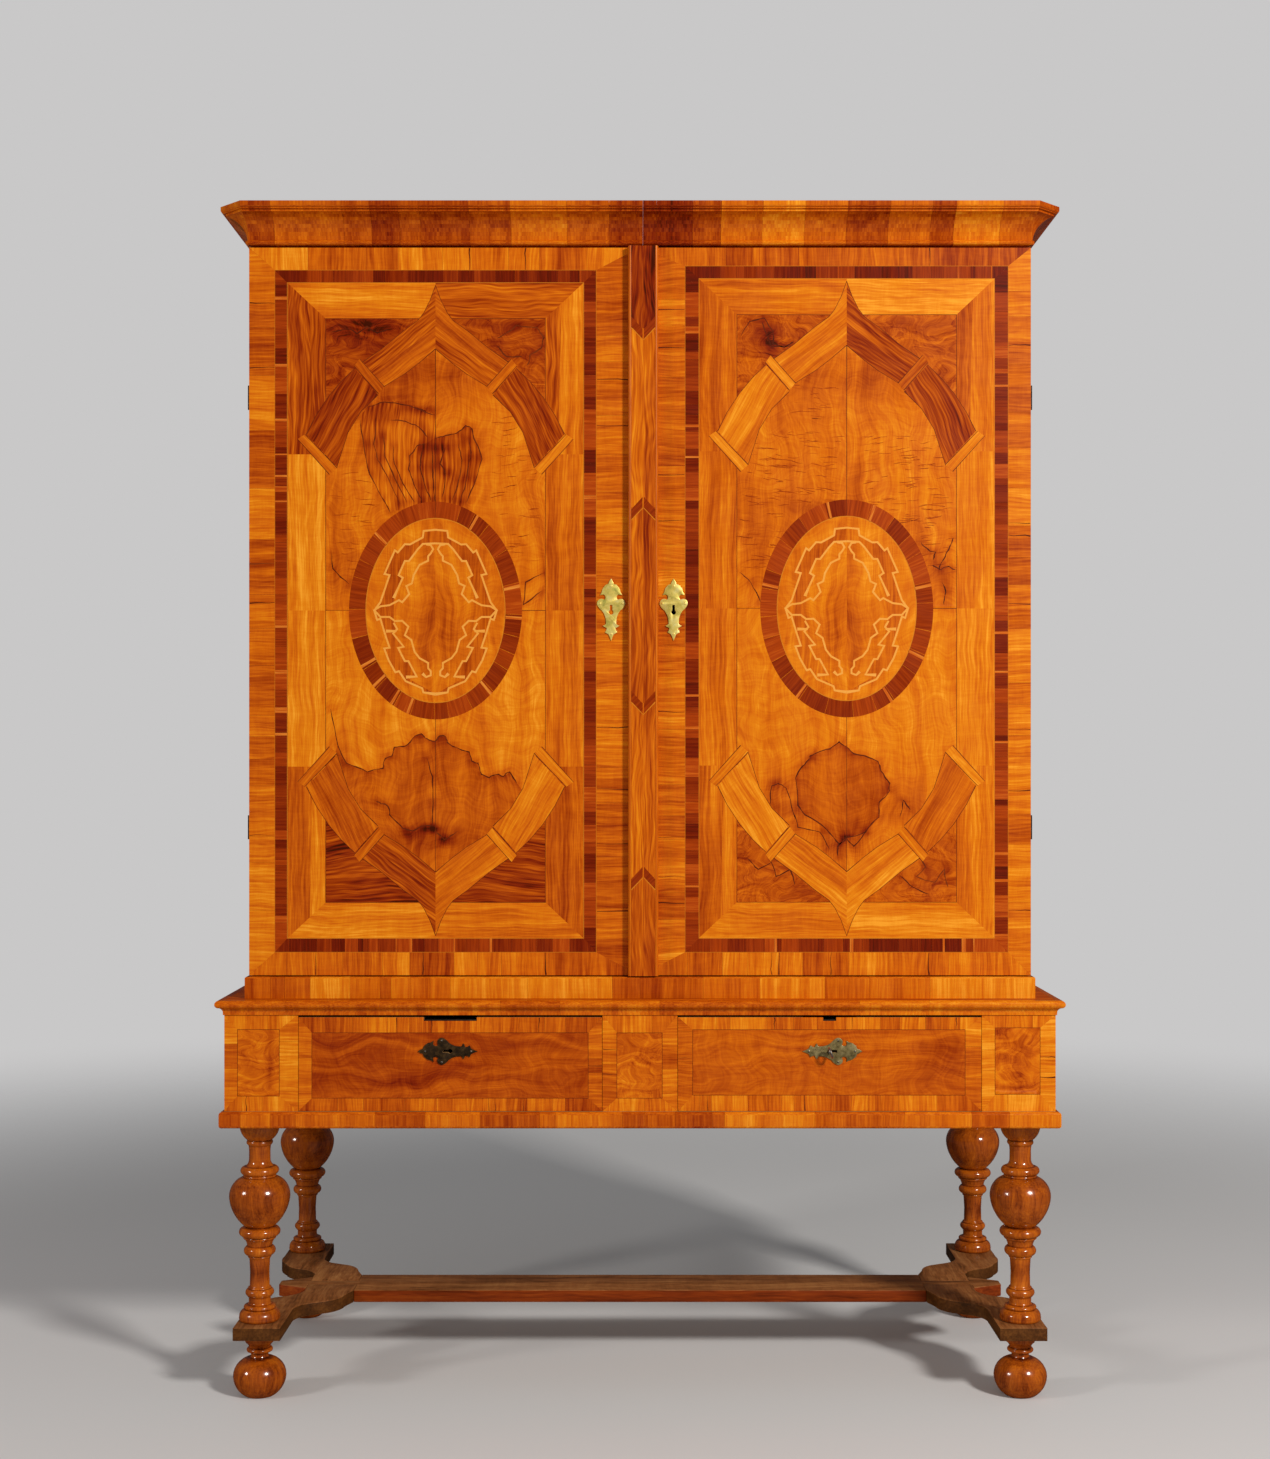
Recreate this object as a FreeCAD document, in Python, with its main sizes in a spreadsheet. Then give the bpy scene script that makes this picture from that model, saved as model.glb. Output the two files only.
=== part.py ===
import FreeCAD, Part
import math
import os
from types import SimpleNamespace

import Sketcher
from FreeCAD import Placement, Rotation, Vector

# A two-door cabinet on a stand: four turned legs on ball feet, a flat stretcher, a frieze with two
# drawers, and an upper case with two overlay doors, shelves and a cornice with canted corners.
# The front faces -Y, Z is up, and the origin is on the floor under the middle of the object.

# Driving sizes in millimetres
SIZES = {
    # Whole object
    "depth": 620,
    # Stand
    "stand_width": 1397,
    "stand_board": 22,
    "back_board": 12,
    "post_width": 124,
    "centre_post_width": 126,
    "base_thickness": 28,
    "base_reach": 8,
    "base_edge": 5,
    "drawer_opening": 162,
    "waist_thickness": 25,
    "waist_reach": 14,
    "waist_fillet": 4,
    "waist_fillet_reach": 2,
    "waist_hollow": 8,
    # Legs and feet
    "leg_side_inset": 48.5,
    "leg_depth_inset": 59,
    "leg_height": 338,
    "leg_ball_diameter": 103,
    "foot_height": 105,
    "foot_ball_diameter": 90,
    "spigot_diameter": 26,
    "spigot_length": 18,
    "spigot_clearance": 0.1,
    # Stretcher
    "stretcher_thickness": 22,
    "stretcher_overhang": 53,
    "stretcher_pad": 80,
    "stretcher_reach": 133,
    "rail_width": 110,
    "rail_tongue_width": 26,
    "rail_hook_width": 76,
    "rail_hook_reach": 54,
    # Upper case
    "case_inset": 35,
    "case_board": 22,
    "plinth_setback": 24,
    "plinth_height": 36,
    "plinth_reach": 5.5,
    "plinth_edge": 2.5,
    "case_floor_step": 14,
    "shelf_thickness": 18,
    "shelf_housing": 8,
    "shelf_setback": 30,
    # Cornice
    "cornice_height": 63,
    "cornice_reach": 47,
    "cornice_bead": 8,
    "cornice_bead_reach": 5,
    "cornice_hollow_reach": 36,
    "cornice_fillet": 4,
    "cornice_band": 10,
    # Doors
    "door_height": 1235,
    "door_thickness": 24,
    "door_recess": 10,
    "door_foot_gap": 2,
    "door_head_gap": 4,
    "door_meeting_gap": 1.5,
    "astragal_width": 51,
    "astragal_lap": 20,
    "astragal_thickness": 15,
    "astragal_round": 5,
    # Hinges
    "hinge_height": 41,
    "hinge_inset": 230,
    "knuckle_diameter": 6.4,
    "knuckle_gap": 0.3,
    "pin_diameter": 3,
    "pin_clearance": 0.05,
    "leaf_thickness": 1.6,
    "fixed_leaf_width": 19,
    "door_leaf_width": 32,
    # Drawers
    "drawer_side_gap": 0.8,
    "drawer_foot_gap": 0.5,
    "drawer_head_gap": 4,
    "drawer_front_thickness": 22,
    "drawer_board": 12,
    "drawer_back_gap": 34,
    "drawer_side_height": 146,
    "drawer_bottom_thickness": 8,
    "drawer_bottom_rise": 4,
    # Locks
    "lock_width": 89,
    "lock_depth": 14,
    "lock_wall": 2,
    "lock_tail": 16,
    "lock_notch": 7,
    "drawer_key_drop": 57,
    "door_key_inset": 57,
    "door_key_height": 1334,
    "door_lock_reach": 55,
    "selvedge_thickness": 3,
    "selvedge_reach": 20,
    "bolt_width": 24,
    "bolt_thickness": 6,
    "bolt_standoff": 4,
    "bolt_heel": 15,
    "bolt_clearance": 0.3,
    "mortise_depth": 11,
    "keyhole_diameter": 8,
    "keyhole_slot": 12.5,
    "keyhole_slot_width": 4.4,
    # Key
    "key_pipe_diameter": 6,
    "drill_pin_diameter": 3,
    "drill_pin_length": 20,
    "key_pipe_clearance": 0.05,
    "key_bit_radius": 11,
    "key_bit_width": 3,
    "key_bit_length": 6,
    "key_stand_out": 12,
    "key_bow_diameter": 20,
    "key_bow_section": 4.4,
    "key_end_gap": 1,
    # Surface bolts and keep on the left door
    "slide_plate_thickness": 3,
    "slide_plate_width": 30,
    "slide_plate_length": 130,
    "slide_bar_width": 12,
    "slide_bar_thickness": 6,
    "slide_bar_length": 190,
    "slide_clearance": 0.3,
    "slide_staple": 3,
    "slide_staple_height": 12,
    "slide_inset": 34,
    "slide_gap": 3,
    "slide_socket": 18,
    "slide_knob_diameter": 8,
    "slide_knob_length": 10,
    "keep_width": 34,
    "keep_inset": 8,
    # Escutcheons
    "escutcheon_length": 106,
    "escutcheon_thickness": 1.6,
    "left_plate_inset": 49,
    "drawer_escutcheon_length": 101,
    "nail_diameter": 4,
    "nail_height": 1.2,
}

# Turned outlines, from the bottom up: radius as a share of the largest radius, height as a share of
# the piece's height, and how far the run to this point bows out (+) or in (-), as a share of half
# its length
LEG_OUTLINE_SHARES = (
    (0.62, 0.0, 0),
    (0.67, 0.022, 0.4),
    (0.544, 0.056, 0.3),
    (0.485, 0.06, 0),
    (0.485, 0.078, 0.7),
    (0.398, 0.084, 0),
    (0.359, 0.094, -0.3),
    (0.359, 0.112, 0),
    (0.388, 0.12, -0.3),
    (0.417, 0.126, 0),
    (0.417, 0.158, 0.5),
    (0.373, 0.161, 0),
    (0.373, 0.168, 0.5),
    (0.326, 0.176, -0.3),
    (0.316, 0.244, 0),
    (0.34, 0.312, 0),
    (0.373, 0.318, 0),
    (0.373, 0.326, 0.5),
    (0.447, 0.332, 0),
    (0.447, 0.374, 0.55),
    (0.408, 0.377, 0),
    (0.485, 0.41, -0.1),
    (0.524, 0.413, 0),
    (0.524, 0.424, 0.5),
    (0.602, 0.428, 0),
    (0.602, 0.468, 0.6),
    (0.466, 0.474, 0),
    (0.816, 0.535, 0.106),
    (1.0, 0.625, 0.12),
    (0.854, 0.693, 0.18),
    (0.53, 0.725, 0.17),
    (0.53, 0.735, 0.5),
    (0.544, 0.738, 0),
    (0.544, 0.776, 0.7),
    (0.466, 0.779, 0),
    (0.353, 0.815, -0.25),
    (0.35, 0.85, 0),
    (0.369, 0.883, -0.05),
    (0.398, 0.888, 0),
    (0.398, 0.91, 0.5),
    (0.645, 1.0, 0.3),
)
FOOT_OUTLINE_SHARES = (
    (0.58, 0.0, 0),
    (1.0, 0.31, 0.25),
    (0.42, 0.605, 0.36),
    (0.35, 0.62, 0),
    (0.35, 0.69, -0.3),
    (0.44, 0.7, 0),
    (0.44, 0.765, 0.7),
    (0.4, 0.77, 0),
    (0.54, 0.86, -0.2),
    (0.6, 1.0, 0.1),
)

# Half of a stretcher board's edge, from its end to its middle: distance towards the cabinet's
# middle from the leg's axis as a share of the pad's width, distance along the depth as a share of
# half the board's length, and the bow of the run to that point. The inner edge ends at the rail.
STRETCHER_OUTER_SHARES = (
    (-0.45, 1.0, 0),
    (-0.45, 0.64, 0),
    (-0.27, 0.45, 0.2),
    (0.08, 0.33, 0.2),
    (0.56, 0.2, -0.25),
)
STRETCHER_INNER_SHARES = (
    (0.55, 1.0, 0),
    (0.56, 0.63, 0),
    (0.86, 0.475, -0.3),
    (1.18, 0.43, 0),
    (1.52, 0.29, 0.25),
)

# Half of an escutcheon's edge, from the tip of its crown to the tip of its tail: half width and
# height above the key's axis as shares of the plate's length, and the bow of the run to that point
ESCUTCHEON_SHARES = (
    (0.0, 0.54, 0),
    (0.045, 0.45, 0.1),
    (0.11, 0.41, 0.3),
    (0.145, 0.34, 0.2),
    (0.18, 0.275, -0.1),
    (0.12, 0.285, 0),
    (0.11, 0.2, -0.6),
    (0.17, 0.215, 0.2),
    (0.225, 0.13, 0.35),
    (0.15, 0.03, 0.15),
    (0.085, -0.12, -0.15),
    (0.08, -0.18, 0),
    (0.135, -0.215, -0.2),
    (0.07, -0.25, 0.1),
    (0.1, -0.32, -0.2),
    (0.045, -0.35, 0),
    (0.0, -0.46, -0.05),
)
ESCUTCHEON_NAIL_SHARES = ((0.0, 0.42), (-0.18, 0.14), (0.18, 0.14), (0.0, -0.35))
# Which way a plate's crown points, as a turn about the keyhole
CROWN_TURNS = {"up": 0, "left": -90, "right": 90}

# How the cornice's corners are canted: 0 would cut them fully, 1 would leave them square
CORNICE_CANT_SHARE = 0.13
KEY_TURN_AT_REST = 70
HOLLOW_STEPS = 8
PLANK_COUNT = 6
SHELF_COUNT = 3


class Size:
    """A length with the expression on the sheet that gives it."""

    def __init__(self, value, text):
        self.value = value
        self.text = text

    def joined(self, sign, other):
        other = as_size(other)
        return f"({self.text} {sign} {other.text})"

    def __add__(self, other):
        return Size(self.value + float(other), self.joined("+", other))

    def __sub__(self, other):
        return Size(self.value - float(other), self.joined("-", other))

    def __mul__(self, other):
        return Size(self.value * float(other), self.joined("*", other))

    def __truediv__(self, other):
        return Size(self.value / float(other), self.joined("/", other))

    def __radd__(self, other):
        return as_size(other) + self

    def __rsub__(self, other):
        return as_size(other) - self

    def __rmul__(self, other):
        return as_size(other) * self

    def __neg__(self):
        return as_size(0) - self

    def __float__(self):
        return self.value


def as_size(value):
    return value if isinstance(value, Size) else Size(float(value), repr(float(value)))


doc = FreeCAD.newDocument("cabinet_on_stand")
sheet = doc.addObject("Spreadsheet::Sheet", "Sizes")
for row, (alias, number) in enumerate(SIZES.items(), start=1):
    sheet.set(f"A{row}", alias)
    sheet.set(f"B{row}", str(number))
    sheet.setAlias(f"B{row}", alias)
doc.recompute()
S = SimpleNamespace(**{alias: Size(float(sheet.get(alias)), f"Sizes.{alias}") for alias in SIZES})

# Levels, from the floor up
STRETCHER_TOP = S.foot_height + S.stretcher_thickness
BASE_BOTTOM = STRETCHER_TOP + S.leg_height
DRAWER_FLOOR = BASE_BOTTOM + S.base_thickness
WAIST_BOTTOM = DRAWER_FLOOR + S.drawer_opening
CASE_BOTTOM = WAIST_BOTTOM + S.waist_thickness
PLINTH_TOP = CASE_BOTTOM + S.plinth_height
CASE_FLOOR = PLINTH_TOP + S.case_floor_step
DOOR_BOTTOM = PLINTH_TOP + S.door_foot_gap
DOOR_TOP = DOOR_BOTTOM + S.door_height
CASE_TOP = DOOR_TOP + S.door_head_gap
CASE_CEILING = CASE_TOP - S.case_board

# Planes across the depth, from the front to the back
BACK = S.depth / 2
FRIEZE = S.waist_reach - BACK
POST_BACK = FRIEZE + S.stand_board
DOOR_FRONT = FRIEZE + S.plinth_setback + S.door_recess
DOOR_BACK = DOOR_FRONT + S.door_thickness
BACK_INSIDE = BACK - S.back_board

# Planes across the width
STAND_HALF = S.stand_width / 2
CASE_HALF = STAND_HALF - S.case_inset
CASE_INSIDE = CASE_HALF - S.case_board
POST_INSIDE = STAND_HALF - S.post_width
CENTRE_HALF = S.centre_post_width / 2
LEG_X = STAND_HALF - S.leg_side_inset
LEG_FRONT = FRIEZE + S.leg_depth_inset
LEG_REAR = BACK - S.leg_depth_inset
LEG_MIDDLE = (LEG_FRONT + LEG_REAR) / 2

nodes = []


def keep(thing, label):
    """Name a finished sub-part, which is written to its own file."""
    thing.Label = label
    nodes.append(thing)
    return thing


def box(name, x, y, z):
    """A rectangular block between three pairs of planes."""
    block = doc.addObject("Part::Box", name)
    for side, axis, (low, high) in zip(("Length", "Width", "Height"), "xyz", (x, y, z)):
        block.setExpression(side, (as_size(high) - low).text)
        block.setExpression(f"Placement.Base.{axis}", as_size(low).text)
    return block


def rod(name, axis, diameter, span, first, second):
    """A round bar along Y or Z. Its other two places are given in X, Y, Z order."""
    bar = doc.addObject("Part::Cylinder", name)
    bar.setExpression("Radius", (diameter / 2).text)
    bar.setExpression("Height", (as_size(span[1]) - span[0]).text)
    places = {"Y": (first, span[0], second), "Z": (first, second, span[0])}[axis]
    if axis == "Y":
        bar.Placement = Placement(Vector(), Rotation(Vector(-1, 0, 0), 90))
    for letter, place in zip("xyz", places):
        bar.setExpression(f"Placement.Base.{letter}", as_size(place).text)
    return bar


def compound(name, pieces):
    group = doc.addObject("Part::Compound", name)
    group.Links = pieces
    return group


def fuse(name, pieces):
    joined = doc.addObject("Part::MultiFuse", name)
    joined.Shapes = pieces
    return joined


def cut(name, base, tools):
    """A piece with other shapes taken out of it."""
    left = doc.addObject("Part::Cut", name)
    left.Base = base
    left.Tool = tools[0] if len(tools) == 1 else compound(name + "_tools", tools)
    return left


def mirrored(span, side):
    """A pair of planes on the right, or the same pair turned to the left."""
    return span if side > 0 else (-span[1], -span[0])


def arc_middle(start, end, bow):
    """The middle point of an arc that bows out to the right of its chord."""
    chord = (end[0] - start[0], end[1] - start[1])
    return (
        (start[0] + end[0]) / 2 + chord[1] * bow / 2,
        (start[1] + end[1]) / 2 - chord[0] * bow / 2,
    )


def edge_between(start, end, bow):
    """A straight or bowed edge between two points in a plane."""
    first = Vector(*start, 0)
    last = Vector(*end, 0)
    if not bow:
        return Part.LineSegment(first, last)
    return Part.Arc(first, Vector(*arc_middle(start, end, bow), 0), last)


def outline_sketch(body, role, points):
    """A closed sketch through points whose places are bound to the sheet."""
    sketch = body.newObject("Sketcher::SketchObject", body.Name + "_sketch")
    plane = next(f for f in body.Origin.OriginFeatures if f.Role == role)
    sketch.AttachmentSupport = [(plane, "")]
    sketch.MapMode = "FlatFace"
    places = [(float(a), float(b)) for a, b, bow in points]
    starts = places[-1:] + places[:-1]
    edges = [edge_between(p, q, row[2]) for p, q, row in zip(starts, places, points)]
    sketch.addGeometry(edges, False)
    ends = []
    for index, place in enumerate(places):
        gap = sketch.getPoint(index, 2) - Vector(*place, 0)
        ends.append((2, 1) if gap.Length < Part.Precision.confusion() else (1, 2))
    rules = []
    for index in range(len(points)):
        after = (index + 1) % len(points)
        rules.append(Sketcher.Constraint("Coincident", index, ends[index][0], after, ends[after][1]))
        bow = abs(points[index][2])
        if bow:
            rules.append(Sketcher.Constraint("Angle", index, 4 * math.atan(bow)))
    sketch.addConstraint(rules)
    for index, (place, row) in enumerate(zip(places, points)):
        for kind, value, size in zip(("DistanceX", "DistanceY"), place, row):
            rule = Sketcher.Constraint(kind, -1, 1, index, ends[index][0], value)
            number = sketch.addConstraint(rule)
            sketch.setExpression(f"Constraints[{number}]", as_size(size).text)
    return sketch


def turned(label, points, x, y, z):
    """A piece turned about an upright axis, from its half outline."""
    body = doc.addObject("PartDesign::Body", label)
    sketch = outline_sketch(body, "XZ_Plane", points)
    turning = body.newObject("PartDesign::Revolution", label + "_turning")
    turning.Profile = sketch
    turning.ReferenceAxis = (sketch, ["V_Axis"])
    turning.Angle = 360
    sketch.Visibility = False
    for axis, place in zip("xyz", (x, y, z)):
        body.setExpression(f"Placement.Base.{axis}", as_size(place).text)
    return keep(body, label)


def padded(label, points, bottom, thickness):
    """A board sawn to an outline, lying flat."""
    body = doc.addObject("PartDesign::Body", label)
    sketch = outline_sketch(body, "XY_Plane", points)
    pad = body.newObject("PartDesign::Pad", label + "_pad")
    pad.Profile = sketch
    pad.setExpression("Length", thickness.text)
    sketch.Visibility = False
    body.setExpression("Placement.Base.z", bottom.text)
    return body


# Feet and legs
def leg_points():
    """Half outline of a leg with its spigots, from the lower end of the axis."""
    radius = S.leg_ball_diameter / 2
    spigot = S.spigot_diameter / 2
    low = -(S.stretcher_thickness + S.spigot_length)
    high = S.leg_height + S.spigot_length
    body = [(radius * r, S.leg_height * h, bow) for r, h, bow in LEG_OUTLINE_SHARES]
    start = [(0, low, 0), (spigot, low, 0), (spigot, 0, 0)]
    return start + body + [(spigot, S.leg_height, 0), (spigot, high, 0), (0, high, 0)]


def foot_points():
    """Half outline of a foot with its socket, from the floor up."""
    radius = S.foot_ball_diameter / 2
    socket = S.spigot_diameter / 2 + S.spigot_clearance
    floor = S.foot_height - S.spigot_length - S.spigot_clearance
    body = [(radius * r, S.foot_height * h, bow) for r, h, bow in FOOT_OUTLINE_SHARES]
    return [(0, 0, 0)] + body + [(socket, S.foot_height, 0), (socket, floor, 0), (0, floor, 0)]


for end, leg_y in (("front", LEG_FRONT), ("rear", LEG_REAR)):
    for side, leg_x in (("left", -LEG_X), ("right", LEG_X)):
        turned(f"foot_{end}_{side}", foot_points(), leg_x, leg_y, 0)
        turned(f"leg_{end}_{side}", leg_points(), leg_x, leg_y, STRETCHER_TOP)


def spigot_holes(name, span, sides):
    """Round holes for the legs' spigots."""
    bore = S.spigot_diameter + S.spigot_clearance * 2
    return [
        rod(f"{name}_hole_{index}", "Z", bore, span, x, y)
        for index, (x, y) in enumerate((LEG_X * side, y) for side in sides for y in (LEG_FRONT, LEG_REAR))
    ]


# Stretcher
def stretcher_points(side):
    """Edge of a stretcher board, once round, with the inner and outer edges mirrored in depth."""
    half = (LEG_REAR - LEG_FRONT) / 2 + S.stretcher_overhang

    def point(row, way, bow):
        across, along, _ = row
        return ((LEG_X - S.stretcher_pad * across) * side, LEG_MIDDLE + half * along * way, -bow * side)

    rail_corner = (S.stretcher_reach / S.stretcher_pad, S.rail_width / 2 / half, 0)
    inner = STRETCHER_INNER_SHARES + (rail_corner,)
    outer = STRETCHER_OUTER_SHARES
    front_in = [point(row, -1, row[2]) for row in inner]
    rear_in = [point(row, 1, nxt[2]) for row, nxt in zip(inner[::-1], ((0, 0, 0),) + inner[:0:-1])]
    rear_out = [point(row, 1, row[2]) for row in outer]
    front_out = [point(row, -1, nxt[2]) for row, nxt in zip(outer[::-1], ((0, 0, 0),) + outer[:0:-1])]
    return front_in + rear_in + rear_out + front_out


def hook_points(side):
    """Edge of the rail's end, which narrows where it stands out beyond a stretcher board."""
    root = S.rail_hook_width / 2
    end = S.rail_tongue_width / 2
    near = WAIST_X * side
    far = (WAIST_X + S.rail_hook_reach) * side
    front = [(near, LEG_MIDDLE - root, 0), (far, LEG_MIDDLE - end, 0)]
    return front + [(far, LEG_MIDDLE + end, 0), (near, LEG_MIDDLE + root, 0)]


LAP_BOTTOM = S.foot_height + S.stretcher_thickness / 2
TONGUE = (LEG_MIDDLE - S.rail_tongue_width / 2, LEG_MIDDLE + S.rail_tongue_width / 2)
RAIL_HALF = LEG_X - S.stretcher_reach
WAIST_X = LEG_X - S.stretcher_pad * STRETCHER_OUTER_SHARES[-1][0]
BOARD_SPAN = (S.foot_height, STRETCHER_TOP)
rail_pieces = [
    box(
        "rail_middle",
        (-RAIL_HALF, RAIL_HALF),
        (LEG_MIDDLE - S.rail_width / 2, LEG_MIDDLE + S.rail_width / 2),
        BOARD_SPAN,
    )
]
for side, word in ((-1, "left"), (1, "right")):
    lap = mirrored((RAIL_HALF, WAIST_X), side)
    board = padded(f"stretcher_board_{word}", stretcher_points(side), S.foot_height, S.stretcher_thickness)
    trench = box(f"stretcher_trench_{word}", lap, TONGUE, (LAP_BOTTOM, STRETCHER_TOP))
    holes = spigot_holes(f"stretcher_{word}", BOARD_SPAN, (side,))
    keep(cut(f"stretcher_cut_{word}", board, [trench] + holes), f"stretcher_end_{word}")
    rail_pieces.append(box(f"rail_lap_{word}", lap, TONGUE, (LAP_BOTTOM, STRETCHER_TOP)))
    hook = padded(f"rail_hook_{word}", hook_points(side), S.foot_height, S.stretcher_thickness)
    rail_pieces.append(hook)
keep(fuse("rail_fuse", rail_pieces), "stretcher_rail")


# Mouldings
def hollow(start, end, bow):
    """Points along a bowed run between two points of a moulding's profile, after its first."""
    first = Vector(*start, 0)
    middle = Vector(*arc_middle(start, end, bow), 0)
    curve = Part.Arc(first, middle, Vector(*end, 0))
    steps = curve.discretize(HOLLOW_STEPS + 1)
    if (steps[0] - first).Length > (steps[-1] - first).Length:
        steps.reverse()
    return [(step.x, step.y) for step in steps[1:]]


def stacked(outlines):
    """A solid with plane sides through closed outlines, one above the other."""
    return Part.makeLoft([Part.makePolygon(points + points[:1]) for points in outlines], True, True)


def mitred(label, profile, half, front, bottom, cant=1, front_backing=0, side_backing=0):
    """A moulding as a front strip and two side strips, mitred where they meet.

    The profile's points are (reach, height) from the edge that it is fixed to. The corners are
    square, or canted by a share. A backing thickens the strips behind that edge.
    """
    half, front, bottom, back = (float(size) for size in (half, front, bottom, BACK))
    inside = half - float(side_backing)
    behind = front + float(front_backing)

    def levels(reach, height):
        z = bottom + height
        bevel = reach * (1 + cant) / 2
        mitre = (half + bevel, front - bevel)
        facing = [] if cant == 1 else [(half + reach * cant, front - reach)]
        aside = [] if cant == 1 else [(half + reach, front - reach * cant)]
        behind_corner = [] if behind == front else [(half, behind)]
        right_half = facing + [mitre, (half, front)] + behind_corner
        front_run = [(-x, y) for x, y in right_half[::-1]] + right_half
        inner_run = [(inside, back)] + ([] if inside == half else [(inside, behind)])
        side_run = [mitre] + aside + [(half + reach, back)] + inner_run
        corner = behind_corner if inside != half else []
        side_run = [(half, front)] + side_run + corner
        left_run = [(-x, y) for x, y in side_run]
        return [[Vector(x, y, z) for x, y in run] for run in (front_run, side_run, left_run)]

    runs = zip(*[levels(reach, height) for reach, height in profile])
    strips = [stacked(list(run)) for run in runs]
    moulding = doc.addObject("Part::Feature", label)
    moulding.Shape = Part.makeCompound(strips)
    return keep(moulding, label)


def base_profile():
    reach, height, edge = float(S.base_reach), float(S.base_thickness), float(S.base_edge)
    low = [(reach - edge, 0)] + hollow((reach - edge, 0), (reach, edge), math.tan(math.pi / 8))
    high = [(reach, height - edge)]
    return low + high + hollow(high[0], (reach - edge, height), math.tan(math.pi / 8))


def waist_profile():
    reach, height = float(S.waist_reach), float(S.waist_thickness)
    step, fillet = float(S.waist_fillet_reach), float(S.waist_fillet)
    nose_low = fillet + float(S.waist_hollow)
    nose_back = reach - (height - nose_low) / 2
    points = [(step, 0), (step, fillet)] + hollow((step, fillet), (nose_back, nose_low), -0.3)
    nose_middle = (nose_low + height) / 2
    points += hollow((nose_back, nose_low), (reach, nose_middle), math.tan(math.pi / 8))
    return points + hollow((reach, nose_middle), (nose_back, height), math.tan(math.pi / 8))


def plinth_profile():
    reach, height, edge = float(S.plinth_reach), float(S.plinth_height), float(S.plinth_edge)
    points = [(reach, 0), (reach, height - edge)]
    return points + hollow(points[-1], (reach - edge, height), math.tan(math.pi / 8))


def cornice_profile():
    reach, height = float(S.cornice_reach), float(S.cornice_height)
    bead, bead_reach = float(S.cornice_bead), float(S.cornice_bead_reach)
    deep, fillet = float(S.cornice_hollow_reach), float(S.cornice_fillet)
    band_low = height - float(S.cornice_band)
    fillet_low = band_low - fillet - fillet / 2
    half_reach = bead_reach / 2
    points = [(half_reach, 0)] + hollow((half_reach, 0), (half_reach, bead), 0.9)
    points += hollow((half_reach, bead), (deep, fillet_low), -0.3)
    slope = fillet / 8
    points += [(deep + fillet / 2, fillet_low + slope), (deep + fillet / 2, fillet_low + fillet)]
    points += [(reach - fillet, fillet_low + fillet + slope), (reach - fillet, band_low)]
    return points + hollow((reach - fillet, band_low), (reach, band_low + fillet), 0.4) + [(reach, height)]


# Stand
WIDE = (-STAND_HALF, STAND_HALF)
DEEP = (FRIEZE, BACK)
BOX_LEVELS = (DRAWER_FLOOR, WAIST_BOTTOM)
base_blank = box("base_blank", WIDE, DEEP, (BASE_BOTTOM, DRAWER_FLOOR))
base_sockets = (BASE_BOTTOM, BASE_BOTTOM + S.spigot_length + S.spigot_clearance)
keep(cut("base_cut", base_blank, spigot_holes("base", base_sockets, (-1, 1))), "stand_bottom")
mitred("base_moulding", base_profile(), STAND_HALF, FRIEZE, BASE_BOTTOM)
for side, word in ((-1, "left"), (1, "right")):
    side_span = mirrored((STAND_HALF - S.stand_board, STAND_HALF), side)
    post_span = mirrored((POST_INSIDE, STAND_HALF), side)
    keep(box(f"side_{word}", side_span, (POST_BACK, BACK_INSIDE), BOX_LEVELS), f"stand_side_{word}")
    keep(box(f"post_box_{word}", post_span, (FRIEZE, POST_BACK), BOX_LEVELS), f"post_{word}")
keep(box("post_middle", (-CENTRE_HALF, CENTRE_HALF), (FRIEZE, POST_BACK), BOX_LEVELS), "post_centre")
keep(box("rear_board", WIDE, (BACK_INSIDE, BACK), BOX_LEVELS), "stand_back")
guides = []
for side, word in ((-1, "left"), (1, "right")):
    inner = mirrored((CENTRE_HALF - S.stand_board, CENTRE_HALF), side)
    outer = mirrored((POST_INSIDE, POST_INSIDE + S.stand_board), side)
    for place, span in (("inner", inner), ("outer", outer)):
        guides.append(box(f"guide_{word}_{place}", span, (POST_BACK, BACK_INSIDE), BOX_LEVELS))
keep(compound("guide_group", guides), "drawer_guides")

# Drawers and their locks
DRAWER_MIDDLE = (CENTRE_HALF + POST_INSIDE) / 2
FRONT_TOP = WAIST_BOTTOM - S.drawer_head_gap
FRONT_BOTTOM = DRAWER_FLOOR + S.drawer_foot_gap
DRAWER_BACK = BACK_INSIDE - S.drawer_back_gap
DRAWER_FRONT_BACK = FRIEZE + S.drawer_front_thickness
DRAWER_KEY_Z = FRONT_TOP - S.drawer_key_drop
BOTTOM_LEVEL = DRAWER_FLOOR + S.drawer_bottom_rise
BOTTOM_TOP = BOTTOM_LEVEL + S.drawer_bottom_thickness
BOLT_SPAN = (S.bolt_standoff, S.bolt_standoff + S.bolt_thickness)


def lock_spans(upright, x, z, across, along):
    """Turn a span across a lock and a span along its bolt into spans of X and Z.

    An upright lock throws its bolt up, and the other, which lies on its side, throws it left.
    """
    if upright:
        return (x + across[0], x + across[1]), (z + along[0], z + along[1])
    return (x - along[1], x - along[0]), (z - across[1], z - across[0])


def lock_block(name, lock, across, depth, along):
    """A block of a lock, with its depth counted from the wood that the lock is fixed to."""
    upright, x, face, z = lock
    x_span, z_span = lock_spans(upright, x, z, across, along)
    return box(name, x_span, (face + depth[0], face + depth[1]), z_span)


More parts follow.
